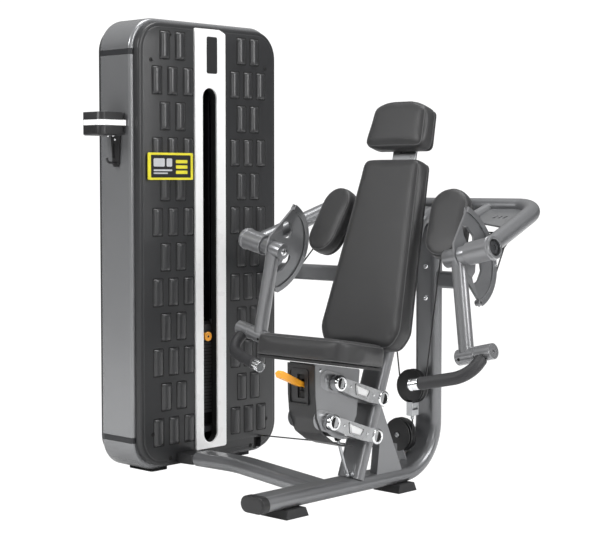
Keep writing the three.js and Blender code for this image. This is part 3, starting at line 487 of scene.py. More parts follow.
def baked(o):
    """the object's mesh with its modifiers applied"""
    dg = bpy.context.evaluated_depsgraph_get()
    me = bpy.data.meshes.new_from_object(o.evaluated_get(dg))
    o.modifiers.clear()
    o.data = me
    return o


def carve(o, cutters, keep=False):
    """cuts closed shells out of an object"""
    for k, c in enumerate(cutters):
        t = build(o.name + "_cutter" + str(k), [c], "dark", None)
        md = o.modifiers.new("cut", "BOOLEAN")
        md.operation = "DIFFERENCE"
        md.solver = "EXACT"
        md.object = t
        bpy.context.view_layer.update()
        baked(o)
        bpy.data.objects.remove(t)
    return o


def edge_finish(o, bevel, seg=2, limit=32.0, angle=38.0):
    me = o.data
    bm = bmesh.new()
    bm.from_mesh(me)
    bmesh.ops.remove_doubles(bm, verts=bm.verts, dist=2e-6)
    for f in bm.faces:
        f.smooth = True
    lim = math.radians(angle)
    for e in bm.edges:
        e.smooth = True if bevel else not (len(e.link_faces) == 2 and e.calc_face_angle(0) > lim)
    bm.to_mesh(me)
    bm.free()
    if bevel:
        md = o.modifiers.new("edges", "BEVEL")
        md.width = bevel / 1000
        md.segments = seg
        md.limit_method = "ANGLE"
        md.angle_limit = math.radians(limit)
        wn = o.modifiers.new("normals", "WEIGHTED_NORMAL")
        wn.weight = 80
    return o


def screw(c, axis, r=7.0, h=4.5, socket=True):
    """button-head screw with a round socket recess: one shell, head rising along the axis"""
    ax = Vector(axis).normalized()
    prof = [(0, -1), (r, -1), (r, 0.6), (r * 0.93, h * 0.45), (r * 0.75, h * 0.8), (r * 0.5, h), (r * 0.44, h), (r * 0.44, h * 0.35), (0, h * 0.35)]
    return lathe(prof, c, ax, 24)


# ------------------------------------------------------- camera, light, floor
cam_data = bpy.data.cameras.new("camera")
cam = bpy.data.objects.new("camera", cam_data)
bpy.context.scene.collection.objects.link(cam)
bpy.context.scene.camera = cam
cam_data.sensor_width = 36.0
cam_data.lens = 1504.0 / 600.0 * 36.0
cam_data.clip_end = 60
az, pitch = math.radians(43.4), math.radians(3.38)
look = Vector((-math.sin(az) * math.cos(pitch), math.cos(az) * math.cos(pitch), -math.sin(pitch)))
cam.location = W((3240, -3216, 1050))
cam.rotation_mode = "QUATERNION"
cam.rotation_quaternion = look.to_track_quat("-Z", "Y")

bpy.context.scene.view_settings.view_transform = "Standard"
bpy.context.scene.view_settings.look = "None"
world = bpy.data.worlds.new("studio")
bpy.context.scene.world = world
world.use_nodes = True
wn_, wl_ = world.node_tree.nodes, world.node_tree.links
bg = wn_["Background"]
bg.inputs[1].default_value = 0.52
tcw, sep = wn_.new("ShaderNodeTexCoord"), wn_.new("ShaderNodeSeparateXYZ")
wl_.new(tcw.outputs["Generated"], sep.inputs[0])
hr = wn_.new("ShaderNodeMapRange")
hr.inputs["From Min"].default_value = -1.0
wl_.new(sep.outputs["Z"], hr.inputs["Value"])
wr_ = wn_.new("ShaderNodeValToRGB")
el = wr_.color_ramp.elements
el[0].position, el[0].color = 0.0, (0.50, 0.50, 0.50, 1)
el[1].position, el[1].color = 1.0, (0.95, 0.95, 0.95, 1)
for pos, c in ((0.49, 0.42), (0.515, 0.13), (0.60, 0.16), (0.70, 0.75), (0.86, 0.95)):
    e_ = wr_.color_ramp.elements.new(pos)
    e_.color = (c, c, c, 1)
wl_.new(hr.outputs["Result"], wr_.inputs["Fac"])
wl_.new(wr_.outputs["Color"], bg.inputs[0])
bw = wn_.new("ShaderNodeBackground")
bw.inputs[0].default_value = (1, 1, 1, 1)
bw.inputs[1].default_value = 1.1
lp_, mxw = wn_.new("ShaderNodeLightPath"), wn_.new("ShaderNodeMixShader")
wl_.new(lp_.outputs["Is Camera Ray"], mxw.inputs[0])
wl_.new(bg.outputs[0], mxw.inputs[1])
wl_.new(bw.outputs[0], mxw.inputs[2])
wl_.new(mxw.outputs[0], wn_["World Output"].inputs["Surface"])


def area_light(name, loc, target, size, energy, size_y=None, color=(1, 1, 1)):
    d = bpy.data.lights.new(name, "AREA")
    d.shape = "RECTANGLE"
    d.size = size
    d.size_y = size_y or size
    d.energy = energy
    d.color = color
    o = bpy.data.objects.new(name, d)
    bpy.context.scene.collection.objects.link(o)
    o.location = loc
    o.rotation_mode = "QUATERNION"
    o.rotation_quaternion = (Vector(target) - Vector(loc)).to_track_quat("-Z", "Y")
    return o


area_light("key", (-1.2, -4.2, 3.4), (0, 0, 0.8), 1.6, 118)
area_light("side", (3.8, 0.9, 2.4), (0.2, 0, 0.8), 1.2, 86, 2.4)
area_light("top", (0.2, 0.3, 4.4), (0, 0, 0), 2.0, 95)
area_light("front", (4.3, -2.7, 1.9), (0, 0, 0.8), 0.45, 32, 2.2)
area_light("back", (-1.6, 3.6, 2.6), (0, 0, 0.9), 2.0, 60).visible_glossy = False

fm = bpy.data.materials.new("floor_paint")
fm.use_nodes = True
fb = fm.node_tree.nodes["Principled BSDF"]
fb.inputs["Base Color"].default_value = (0.93, 0.93, 0.93, 1)
fb.inputs["Roughness"].default_value = 0.85
fb.inputs["Specular IOR Level"].default_value = 0.1
fn_, fl_ = fm.node_tree.nodes, fm.node_tree.links
fe, fp, fx = fn_.new("ShaderNodeEmission"), fn_.new("ShaderNodeLightPath"), fn_.new("ShaderNodeMixShader")
fe.inputs[1].default_value = 1.1
fx_out = fn_["Material Output"]
fl_.new(fp.outputs["Is Camera Ray"], fx.inputs[0])
fl_.new(fb.outputs[0], fx.inputs[1])
fl_.new(fe.outputs[0], fx.inputs[2])
fl_.new(fx.outputs[0], fx_out.inputs["Surface"])
fme = bpy.data.meshes.new("floor")
fme.from_pydata([(-30, -30, 0), (30, -30, 0), (30, 30, 0), (-30, 30, 0)], [], [(0, 1, 2, 3)])
fme.materials.append(fm)
floor = bpy.data.objects.new("floor", fme)
bpy.context.scene.collection.objects.link(floor)

# ------------------------------------------------------ plain CAD nodes first
# nodes that stay: smooth shading on their round faces and the finish of their slot
FINISH = {s["node"]: s["material_slot"] for s in frame["record"]["subparts"]}
for name, o in frame["nodes"].items():
    o.data.materials.clear()
    o.data.materials.append(MATS.get(FINISH[name], MATS["frame"]))
    bm = bmesh.new()
    bm.from_mesh(o.data)
    for f in bm.faces:
        f.smooth = True
    for e in bm.edges:
        e.smooth = not (len(e.link_faces) == 2 and e.calc_face_angle(0) > math.radians(33))
    keep = [v.co.copy() for v in bm.verts]
    bm.to_mesh(o.data)
    bm.free()

# ---------------------------------------------------------------- frame tubes
RAIL_Z, COLUMN_Y, BEND_R = 55, 860, 165
OV = oval(25, 50)
rail = build("rail_and_column", [sweep(fillet([(0, 3, RAIL_Z), (0, COLUMN_Y, RAIL_Z), (0, COLUMN_Y, 955)], [0, BEND_R, 0], 28), [(y, x) for x, y in OV][::-1], (1, 0, 0))],
             "frame", "frame", bevel=0.8)


def rod_d(c, a, s0, s1, r, n=28, ch=1.0):
    c, a = Vector(c), Vector(a).normalized()
    return rod(c + a * s0, c + a * s1, r, n, ch=ch)


B1C, B1A = Vector((-52.74, 774.52, 172.95)), Vector((0.04772, 0.99886, 0.0))
FLOAT = Vector((0, 772, 346))
cheek = lambda y: inXZ([(B1C.x - 16, 96), (-24, 66), (-8, 84), (B1C.x + 17, B1C.z - 30), (B1C.x - 17, B1C.z - 30)], y, y + 5)
bracket = build("base_pulley_bracket", [cheek(B1C.y - 20), cheek(B1C.y + 15)], "frame", "frame", bevel=1.0)
build("base_pulley_cheeks", [rod(B1C + B1A * q, B1C + B1A * (q + 5), 56, 64, ch=1.2) for q in (-20, 15)], "black", "frame", angle=30)
build("base_pulley_cheek_rings", [lathe([(9, 0), (15, 0), (15, 1.0), (13.5, 1.6), (10, 1.6), (9, 1.0)], B1C - B1A * 20, -B1A, 40, closed=True)], "black", "frame", angle=30)
axle = build("base_pulley_axle", [rod_d(B1C, B1A, -22, 22, 8), screw(B1C - B1A * 20, -B1A, 9.5, 5), screw(B1C + B1A * 20, B1A, 9.5, 5)], "steel", "frame")
bolts = build("column_bolts", [screw((5.5, 835.2, 754), (0, -1, 0), 9.5, 7), screw((5.8, 835.2, 645), (0, -1, 0), 9.5, 7)], "chrome", "frame")
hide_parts("main_rail_column")

capshell = sweep([(0, -4, RAIL_Z), (0, 26, RAIL_Z)], [(y, x) for x, y in oval(26.6, 51.6)][::-1], (1, 0, 0))
endcap = build("rail_end_cap_moulding", [capshell], "black", "frame", ["rail_end_cap"], bevel=3.0, seg=4)
lip = build("rail_end_cap_face", [extrude([(x, y) for y, x in oval(20.5, 45)], (0, -3.4, RAIL_Z), (1, 0, 0), (0, 0, 1), 1.6)], "black", "frame", bevel=0.7)

for nm, y0, y1 in (("front_foot", 90, 192), ("rear_foot", 632, 728)):
    pts = soft([(y0, 0, 1.5), (y1, 0, 1.5), (y1 - 14, 29.7, 3), (y0 + 6, 29.7, 3)], 4)
    build(nm + "_rubber", [inYZ(pts, -56, 56)], "rubber", "frame", [nm], bevel=2.0, seg=3)

link = fillet([(-704, 446, 50), (-500, 440, RAIL_Z), (-20, 322, RAIL_Z)], [0, 420, 0], 20)
build("base_link", [sweep(link, oval(25, 50), (0, 0, 1))], "frame", "frame", ["base_link_tube"], bevel=0.8)
build("tower_coupling_moulding", [inXY(soft([(-784.6, 390, 0), (-706, 400, 14), (-706, 482, 14), (-784.6, 482, 0)], 8), 30, 66)], "black", "frame", ["tower_coupling"], bevel=4, seg=4)
tie_sec = lambda g=0: soft([(843 - g, 681 - g, 12), (877 + g, 681 - g, 12), (877 + g, 739 + g, 12), (843 - g, 739 + g, 12)], 8)
build("tie_bar_tube", [inYZ(tie_sec(), -814.6, 128)], "frame", "frame", ["tie_bar"], bevel=0.8)
build("tie_bar_plug", [inYZ(offset(tie_sec(), 1.2), 127.2, 129.6)], "black", "frame", bevel=0.8)

# ------------------------------------------------------------------ back post
UR, LR = (521, 337), (490.5, 215.5)
UF, LF = (313, 407), (282.5, 285.5)


def postY(z):
    return 451 + (z - 70) * 0.3785


post_path = fillet([(0, postY(72), 72), (0, postY(918), 918), (0, 846, 936)], [0, 55, 0], 12)
post = build("back_post_tube", [sweep(post_path, [(y, x) for x, y in OV][::-1], (1, 0, 0))], "frame", "frame", bevel=0.8)
across = lambda p, x0, x1, r, n=36, ch=1.2: rod((x0, p[0], p[1]), (x1, p[0], p[1]), r, n, ch=ch)
build("post_bosses", [across(UR, -52, 52, 24), across(LR, -52, 52, 24)], "frame", "frame")
brace = inYZ(soft([(540, 66, 0), (676, 66, 0), (560, 312, 14), (516, 300, 0), (556, 190, 60)], 10), 6, 38)
build("post_brace", [brace], "frame", "frame", bevel=2.0, seg=3)
build("back_pad_brackets", [inYZ([(555.4, 560), (640, 560), (640, 640), (578.8, 640)], -30, 30), inYZ([(643.7, 862), (740, 862), (760, 930), (663.6, 930)], -30, 30)], "frame", "frame", bevel=1.5)
ball = build("gas_spring_stud", [rod((20, 446, 92), (20, 422, 92), 9, 28, ch=1), lathe([(0, 0), (11.5, 0), (11.5, 6), (0, 6)], (20, 428, 92), (0, 1, 0), 6)], "steel", "frame", bevel=0.8)
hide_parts("back_post")

# ------------------------------------------------------------------ top frame
TILT = math.radians(13.35)
ct, st = math.cos(TILT), math.sin(TILT)
HUB, CROSS = Vector((450, 502, 826)), Vector((483, 482, 517))
A, B = Vector((ct, 0, st)), Vector((-st, 0, ct))
Y = Vector((0, 1, 0))
hub = lambda t, y=0, h=0: HUB + A * t + Y * y + B * h
crs = lambda t, y=0, h=0: CROSS + A * t + Y * y + B * h
fl = lambda p: Vector((-p[0], p[1], p[2]))
TOP = Vector((438.8, 880, 962))
arm_end = Vector((491.8, 502, 830.4))
top_path = fillet([arm_end, TOP, fl(TOP), fl(arm_end)], [0, 92, 92, 0], 20)
top = build("top_frame_bend", [sweep(top_path, ring(28, 44), (0, 0, 1))], "frame", "frame", bevel=1.2, seg=3)
d = (arm_end - TOP).normalized()


def gusset(s):
    c, u = Vector((s * TOP.x, TOP.y, TOP.z)), Vector((-s, 0, 0))
    f = Vector((s * d.x, d.y, d.z))
    v = (f - u * f.dot(u)).normalized()
    skew = f.dot(u)
    side = math.sqrt(1 - skew * skew)
    at = lambda p, q: (p + q * skew, q * side)
    slots = [soft([(58 + 20 * i, 92, 4), (68 + 20 * i, 96, 4), (68 + 20 * i, 118, 4), (58 + 20 * i, 114, 4)], 5) for i in range(3)]
    w = u.cross(v)
    return extrude([at(15, 15), at(200, 15), (150, 150), at(15, 200)], c - w * 3, u, v, 6, slots)


build("gussets", [gusset(1), gusset(-1)], "frame", "frame", bevel=0.8)
padL = Vector((-0.165, 0.48, 1)).normalized()
padN = Vector((0.1, -0.92, 0.38))
padN = (padN - padL * padN.dot(padL)).normalized()
padC = Vector((254.5, 620, 920))
padU = padL.cross(padN).normalized()
for s, side in ((1, "right"), (-1, "left")):
    m = s < 0
    o = padC - padN * 62.4
    build(side + "_pad_support", [extrude(rounded(-32, 32, -60, 60, 10), o, padU, padL, 6), rod(padC - padN * 61, (250, 870, 958), 19, 32)], "frame", "frame", bevel=1.0, mirror=m)
    build(side + "_elbow_housing", [lathe([(17.6, 0), (34.4, 0), (36, 1.6), (36, 99.4), (34.4, 101), (28, 101), (27, 100), (27, 89), (17.6, 89)], hub(-9), A, 56, closed=True)], "frame", "frame", angle=34, mirror=m)
    build(side + "_elbow_weld", [lathe([(36, -3.2), (38.6, -1.2), (39.0, 0), (38.6, 1.2), (36, 3.2)], hub(92 - 13), A, 56, closed=True)], "frame", "frame", angle=60, mirror=m)
CRC, CRA = Vector((360.5, 749.935, 850.378)), Vector((-0.01731, 0.751612, -0.659378))
MRC, MRA = Vector((164.582, 774.781, 844.079)), Vector((-0.000144, 0.999985, -0.005469))
for s, side in ((1, "right"), (-1, "left")):
    m = s < 0
    for nm, c, a in (("corner", CRC, CRA), ("guide", MRC, MRA)):
        c2 = c.copy()
        build("%s_%s_hanger" % (side, nm), [rod(c2 - a * 11.5, c2 + a * 27, 8, 24, ch=0.8), rod(c2 + a * 23, (c.x, 876, 958), 9, 24)], "frame", "frame", bevel=0.8, mirror=m)
        build("%s_%s_pulley_nut" % (side, nm), [lathe([(0, 0), (11, 0), (11, 5), (9.5, 6.5), (0, 6.5)], c2 - a * 11.2, -a, 6)], "steel", "frame", bevel=0.5, mirror=m)
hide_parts("top_frame_tube")

# ---------------------------------------------------------------- weight tower
X0, X1, TY0, TY1, TZ0, TZ1 = -985, -815, 210, 920, 15, 1622
BL, BH, BT = 118, 1490, 19.7
for nm, y0, y1 in (("tower_front_side", TY0, TY0 + 60), ("tower_rear_side", TY1 - 60, TY1)):
    sec = rounded(X0, X1, y0, y1, 13, 10)
    build(nm + "_panel", [inXY(sec, BL + BT + 0.3, BH - 0.3)], "tower", "frame", [nm], bevel=0.8)
capR = TZ1 - (BH + BT + 0.3)
lowR = BL - 0.3 - TZ0


def band_section(t, r=12):
    """rounded on the outer side: x outwards, y along X"""
    a = arc(t - r, 85 - r, r, 90, 0, 8)[::1]
    pts = [(0, 85)] + [(t - r, 85)] + arc(t - r, 85 - r, r, 90, 0, 8)[1:] + arc(t - r, -85 + r, r, 0, -90, 8) + [(0, -85)]
    return dedupe(pts)


def bent_band(centres, t=24):
    """band along a path in the YZ plane: path of (y, z, outward angle in degrees)"""
    verts, faces = [], []
    sec = band_section(t)
    k = len(sec)
    for y, z, a, r in centres:
        ca, sa = math.cos(math.radians(a)), math.sin(math.radians(a))
        for x, w in sec:
            rr = r - t + x
            verts.append(Vector((-900 + w, y + ca * rr, z + sa * rr)))
    n = len(centres)
    for i in range(n - 1):
        for j in range(k):
            jj = (j + 1) % k
            faces.append((i * k + j, i * k + jj, (i + 1) * k + jj, (i + 1) * k + j))
    faces.append(tuple(range(k - 1, -1, -1)))
    faces.append(tuple(range((n - 1) * k, n * k)))
    return verts, faces


steps = 20
up = [(TY0 + capR, TZ1 - capR, 180 - 90 * i / steps, capR) for i in range(steps + 1)] + [(TY1 - capR, TZ1 - capR, 90 - 90 * i / steps, capR) for i in range(steps + 1)]
build("tower_top_band", [bent_band(up)], "tower", "frame", ["tower_top_cap"], bevel=0.6)
dn = [(TY0 + lowR, TZ0 + lowR, 180 + 90 * i / steps, lowR) for i in range(steps + 1)] + [(TY1 - lowR, TZ0 + lowR, 270 + 90 * i / steps, lowR) for i in range(steps + 1)]
build("tower_bottom_band", [bent_band(dn)], "tower", "frame", ["tower_bottom_cap"], bevel=0.6)
for nm, y0, y1 in (("tower_foot_front", 316, 396), ("tower_foot_rear", 734, 814)):
    build(nm + "_rubber", [inXY(rounded(-965, -835, y0, y1, 12), 0, 14.7)], "rubber", "frame", [nm], bevel=2.0, seg=3)
for z in (BL, BH):
    build("tower_band_%d" % z, [inXY(rounded(X0 + 1.5, X1 - 1.5, TY0 + 1.5, TY0 + 62, 12, 8), z, z + BT), inXY(rounded(X0 + 1.5, X1 - 1.5, TY1 - 62, TY1 - 1.5, 12, 8), z, z + BT)], "band", "frame", bevel=0.8)

# covers: shell with a shallow step, embossed lozenges, screws
cover_out, cover_mid = rounded(225, 905, 30, 1607, 100, 20), rounded(233, 897, 38, 1599, 92, 20)
slot_hole = arc(555.5, 1345, 45, 0, 180, 20) + arc(555.5, 125, 45, 180, 360, 20)


def ring_wall(outlines, xs):
    """skin through outlines of the same point count at the given x positions, capped at both ends"""
    verts, faces = [], []
    k = len(outlines[0])
    for o, x in zip(outlines, xs):
        verts += [Vector((x, p[0], p[1])) for p in o]
    for i in range(len(xs) - 1):
        for j in range(k):
            jj = (j + 1) % k
            faces.append((i * k + j, i * k + jj, (i + 1) * k + jj, (i + 1) * k + j))
    return verts, faces


def cover_shell(xs, sign, hole):
    """outer skin from the rim to the face; xs = rim, shoulder..., face positions"""
    ins = [0, 0, 1.2, 4.2, 8.0, 15.0, 17.0, 19.5]
    dx = [0, xs[1], xs[1] + 3.4, xs[1] + 6.0, xs[1] + 7.0, xs[1] + 7.0, xs[1] + 8.6, xs[1] + 9.4]
    outs = [offset(cover_out, i) for i in ins]
    v, f = ring_wall(outs, [xs[0] + sign * q for q in dx])
    k = len(cover_out)
    base = (len(ins) - 1) * k
    xf = xs[0] + sign * dx[-1]
    face = outs[-1]
    if hole:
        loops = [face, hole[::-1]]
        tris = tessellate_polygon([[Vector((p[0], p[1], 0)) for p in lp] for lp in loops])
        hb = len(v)
        v += [Vector((xf, p[0], p[1])) for p in loops[1]]
        m = [base + i for i in range(k)] + [hb + i for i in range(len(hole))]
        f += [tuple(m[i] for i in t) for t in tris]
        # slot wall, going back into the shell
        wb = len(v)
        v += [Vector((xs[0] + sign * 2.0, p[0], p[1])) for p in loops[1]]
        n = len(hole)
        f += [(hb + i, hb + (i + 1) % n, wb + (i + 1) % n, wb + i) for i in range(n)]
        back = [offset(cover_out, 4)]
        bb = len(v)
        v += [Vector((xs[0] + sign * 2.0, p[0], p[1])) for p in back[0]]
        tris = tessellate_polygon([[Vector((p[0], p[1], 0)) for p in lp] for lp in (back[0], loops[1])])
        m = [bb + i for i in range(k)] + [wb + i for i in range(n)]
        f += [tuple(m[i] for i in reversed(t)) for t in tris]
        f += [(i, (i + 1) % k, bb + (i + 1) % k, bb + i) for i in range(k)]
    else:
        f.append(tuple(base + i for i in range(k)))
        f.append(tuple(reversed(range(k))))
    return v, f


def lozenge(y, z, x, sign, w=46, h=97, d=11.5):
    """embossed tile: a cylinder's cap across, cut square at its ends with softened corners"""
    nz = [(-h / 2, 0.0), (-h / 2 + 0.8, 0.42), (-h / 2 + 2.2, 0.74), (-h / 2 + 4.4, 0.93), (-h / 2 + 8, 1.0), (-h / 2 + 14, 1.0), (0, 1.0), (h / 2 - 14, 1.0), (h / 2 - 8, 1.0), (h / 2 - 4.4, 0.93), (h / 2 - 2.2, 0.74), (h / 2 - 0.8, 0.42), (h / 2, 0.0)]
    ny = 12
    verts, faces = [], []
    for dz, k in nz:
        for i in range(ny + 1):
            u = -1 + 2 * i / ny
            hh = d * max(0.0, 1 - abs(u) ** 2.6) * k
            narrow = 1 - 0.16 * max(0.0, (abs(dz) - (h / 2 - 8)) / 8) ** 2
            verts.append(Vector((x + sign * (hh - 0.6), y + u * w / 2 * narrow, z + dz)))
    m = ny + 1
    for a in range(len(nz) - 1):
        for i in range(ny):
            faces.append((a * m + i, a * m + i + 1, (a + 1) * m + i + 1, (a + 1) * m + i))
    # closed behind
    b = len(verts)
    verts += [v - Vector((sign * 2.0, 0, 0)) if False else Vector((x - sign * 2.0, v.y, v.z)) for v in verts[:b]]
    for a in range(len(nz) - 1):
        for i in range(ny):
            faces.append((b + a * m + i, b + (a + 1) * m + i, b + (a + 1) * m + i + 1, b + a * m + i + 1))
    edge = [i for i in range(m)] + [a * m + ny for a in range(1, len(nz))] + [(len(nz) - 1) * m + i for i in range(ny - 1, -1, -1)] + [a * m for a in range(len(nz) - 2, 0, -1)]
    for i in range(len(edge)):
        p, q = edge[i], edge[(i + 1) % len(edge)]
        faces.append((p, b + p, b + q, q))
    return verts, faces


FACE_X = -785.0
front = cover_shell((-814.6, 20.2), 1, slot_hole)
tiles, tile_shade_rims = [], []
for r in range(12):
    z = 1527 - 125.2 * r
    for y in ((344, 417, 722, 790) if r % 2 == 0 else (307, 380, 454, 688, 757, 823)):
        tiles.append(lozenge(y, z, FACE_X, 1))
        # each tile sits on a slightly larger near-black patch: painted shade where the tile meets the cover face
        tile_shade_rims.append(inYZ(rounded(y - 25.5, y + 25.5, z - 51.5, z + 51.5, 4, 3), FACE_X - 0.4, FACE_X + 0.2))
cov = build("front_cover_moulding", [front], "cover", "frame", ["front_cover"], angle=30)
carve(cov, [box(-840, -700, 785, 823, 26, 74)])
edge_finish(cov, 0, angle=30)
build("front_cover_tiles", tiles, "tile", "frame", angle=60)
build("front_cover_tile_shade_rims", tile_shade_rims, "dark", "frame", angle=60)
rear = cover_shell((-985.4, 17.2), -1, None)
rt = []
for r in range(12):
    z = 1527 - 125.2 * r
    ys = [344 + 73 * i for i in range(7)] if r % 2 == 0 else [307 + 73 * i for i in range(8)]
    for y in ys:
        rt.append(lozenge(y, z, -1012.0, -1, d=8.5))
build("rear_cover_moulding", [rear], "cover", "frame", ["rear_cover"], angle=30)
build("rear_cover_tiles", rt, "tile", "frame", angle=60)
dots = [(369, 1566), (280, 1472), (773, 1565), (847, 1470), (279, 146), (362, 51), (850, 139), (767, 46)]
build("cover_screws", [lathe([(0, 0), (7.5, 0), (7.5, 1.6), (6.2, 2.4), (3, 2.4), (3, 0.8), (0, 0.8)], (FACE_X - 0.6, y, z), (1, 0, 0), 24) for y, z in dots]
      + [lathe([(0, 0), (7.5, 0), (7.5, 1.6), (6.2, 2.4), (3, 2.4), (3, 0.8), (0, 0.8)], (-1011.4, y, z), (-1, 0, 0), 24) for y, z in dots], "dark", "frame")
# near-black plate behind the opening cut low in the cover: painted shade of the tower's inside
build("outlet_painted_shade", [inYZ([(785, 26), (823, 26), (823, 74), (785, 74)], -812, -809)], "dark", "frame")
strip_out = soft([(483, 64.5, 6), (634, 64.5, 10), (634, 1584, 8), (605, 1597, 8), (483, 1597, 4)], 6)
strip_hole = arc(555.5, 1349, 35.5, 0, 180, 28) + arc(555.5, 121, 35.5, 180, 360, 28)
build("white_strip", [inYZ(strip_out, -784.9, -778, [strip_hole])], "white", "frame", ["window_frame"], bevel=1.8, seg=3)
build("name_place", [inYZ(rounded(540, 592, 1437, 1570, 7), -778.4, -776.6)], "black", "frame", bevel=0.6)
# the slot's walls behind the white strip in near-black: painted shade inside the slot
build("slot_wall_painted_shade", [inYZ(arc(555.5, 1347, 44, 0, 180, 24) + arc(555.5, 123, 44, 180, 360, 24), -784.9, -812, [strip_hole])], "dark", "frame")
# placard with a plain generic layout
build("placard_frame", [inYZ(rounded(255, 464, 1051, 1147, 5), -777.2, -770.5, [rounded(265, 454, 1059, 1139, 4)])], "yellow", "frame", bevel=1.4, seg=3)
build("placard_panel", [inYZ(rounded(263, 456, 1057, 1141, 4), -776.0, -773.2)], "panel", "frame", bevel=0.3)
bars = [inYZ(rounded(279, 331, 1098, 1127, 5), -773.3, -772.6), inYZ(rounded(340, 366, 1098, 1127, 5), -773.3, -772.6), inYZ(rounded(279, 366, 1082, 1088, 2.5), -773.3, -772.6), inYZ(rounded(279, 345, 1072, 1077, 2.2), -773.3, -772.6)]
build("placard_blocks", bars, "print_grey", "frame")
build("placard_bars", [inYZ(rounded(384, 439, 1072 + 19 * i, 1084 + 19 * i, 3), -773.3, -772.6) for i in range(3)], "yellow", "frame")

PIN_Z = 475.9

# drinks holder
cup_out, cup_in = rounded(-945, -835, 92, 209.4, 24, 10), rounded(-941, -839, 96, 205.4, 20, 10)
k = len(cup_out)
cv = [Vector((x, y, z)) for z, pts in ((1206, offset(cup_out, 4)), (1210, cup_out), (1285.5, cup_out), (1287, offset(cup_out, 1.2)), (1287, offset(cup_in, -0.8)), (1285.5, cup_in), (1214, cup_in), (1210.5, offset(cup_in, 4))) for x, y in pts]
cf = [(i * k + j, i * k + (j + 1) % k, (i + 1) * k + (j + 1) % k, (i + 1) * k + j) for i in range(7) for j in range(k)]
cf += [tuple(reversed(range(k))), tuple(range(7 * k, 8 * k))]
build("drinks_cup", [(cv, cf)], "black", "frame", ["bottle_holder"], angle=45)
stripe = [p for p in rounded(-946, -834, 91, 209.4, 25, 10)]
sel = [(-946, 150)] + [p for p in arc(-921, 116, 25, 180, 270, 10)] + [p for p in arc(-859, 116, 25, 270, 360, 10)] + [(-834, 206)]
grow = [(p[0] + (1.4 if p[0] < -925 else (-1.4 if p[0] > -855 else 0)), p[1] + (1.4 if p[1] < 112 else 0)) for p in sel]
sv = [Vector((x, y, z)) for z in (1241, 1260) for x, y in sel] + [Vector((x, y, z)) for z in (1241, 1260) for x, y in grow]
n = len(sel)
sf = [(i, i + 1, n + i + 1, n + i) for i in range(n - 1)] + [(2 * n + i, 3 * n + i, 3 * n + i + 1, 2 * n + i + 1) for i in range(n - 1)]
sf += [(i, 2 * n + i, 2 * n + i + 1, i + 1) for i in range(n - 1)] + [(n + i, n + i + 1, 3 * n + i + 1, 3 * n + i) for i in range(n - 1)]
sf += [(0, n, 3 * n, 2 * n), (n - 1, 3 * n - 1, 4 * n - 1, 2 * n - 1)]
build("drinks_cup_stripe", [(sv, sf)], "white", "frame", angle=45)
brk = inXZ(soft([(-915, 1208, 0), (-866, 1208, 0), (-872, 1106, 3), (-878, 1097, 6), (-900, 1097, 6), (-906, 1106, 3)], 5), 203, 209.4, [soft([(-900, 1126, 3), (-894, 1126, 3), (-896, 1180, 3), (-902, 1180, 3)], 4)])
hook = sweep(fillet([(-888, 206, 1112), (-888, 168, 1112), (-888, 163, 1128)], [0, 8, 0], 8), ring(4, 16), (1, 0, 0))
build("drinks_holder_bracket", [brk, hook], "black", "frame", bevel=1.0)
build("drinks_holder_screws", [screw((-891, 203, 1194), (0, -1, 0), 5, 3), screw((-911, 190, 1206), (0, 0, -1), 5, 3), screw((-884, 190, 1206), (0, 0, -1), 5, 3)], "chrome", "frame")

# joints between the resting plates and the groove along the middle of each
build("plate_joints", [box(-845.2, -844.7, 395.5, 715.5, 184 + 12.7 * i - 0.9, 184 + 12.7 * i + 0.9) for i in range(1, 22)], "dark", "frame")

# selector pin: steel shank, orange knob with a rimmed disc at its end
build("selector_pin_knob", [lathe([(0, -28), (11, -28), (12.5, -26.5), (12.5, -8), (16.4, -6), (17.4, -4.6), (17.4, -1.4), (16.2, 0), (13.4, 0), (12.4, -1.6), (5.6, -1.6), (4.8, -0.6), (0, -0.6)], (-789.5, 555.5, PIN_Z), (1, 0, 0), 44),
      rod((-889, 555.5, PIN_Z), (-816, 555.5, PIN_Z), 4.9, 24)], ["orange", "steel"], "pin", ["selector_pin"], angle=34)
build("selector_pin_eye", [lathe([(0, 0), (4.2, 0), (4.2, 0.5), (0, 0.5)], (-790.3, 555.5, PIN_Z), (1, 0, 0), 28)], "dark", "pin")

# --------------------------------------------------------------------- pulleys
def pulley(name, c, axis, R, G, width, body, node, bore=8.05):
    h = width / 2
    prof = [(bore, -h), (17, -h), (18.5, -h + 1.5), (18.5, -h + 2.5), (20, -h + 3), (R - 9, -h + 3), (R - 7.5, -h + 1), (R - 6.5, -h), (R - 1.2, -h), (R, -h + 1.2), (R, -h + 3.4), (R - 1.5, -h + 4.6),
            (G + 1.5, -3.6), (G, -2.2), (G, 2.2), (G + 1.5, 3.6), (R - 1.5, h - 4.6), (R, h - 3.4), (R, h - 1.2), (R - 1.2, h), (R - 6.5, h), (R - 7.5, h - 1), (R - 9, h - 3), (20, h - 3), (18.5, h - 2.5), (18.5, h - 1.5), (17, h), (bore, h)]
    return build(name, [lathe(prof, c, axis, 56, closed=True)], "black", body, [node], angle=50)


pulley("floating_pulley_wheel", FLOAT, (0, 1, 0), 58.6, 49.3, 24, "floating_pulley", "floating_pulley")
pulley("base_pulley_wheel", B1C, B1A, 58.6, 49.3, 22, "base_pulley", "base_pulley")
for s, side in ((1, "right"), (-1, "left")):
    c, a = CRC.copy(), CRA.copy()
    c2, a2 = MRC.copy(), MRA.copy()
    if s < 0:
        c, c2 = fl(c), fl(c2)
        a = Vector((-a.x, a.y, a.z)); a2 = Vector((-a2.x, a2.y, a2.z))
    pulley(side + "_corner_wheel", c, a, 40.8, 35.1, 20, side + "_corner_pulley", side + "_corner_pulley")
    pulley(side + "_guide_wheel", c2, a2, 42.8, 37.1, 20, side + "_guide_pulley", side + "_guide_pulley")

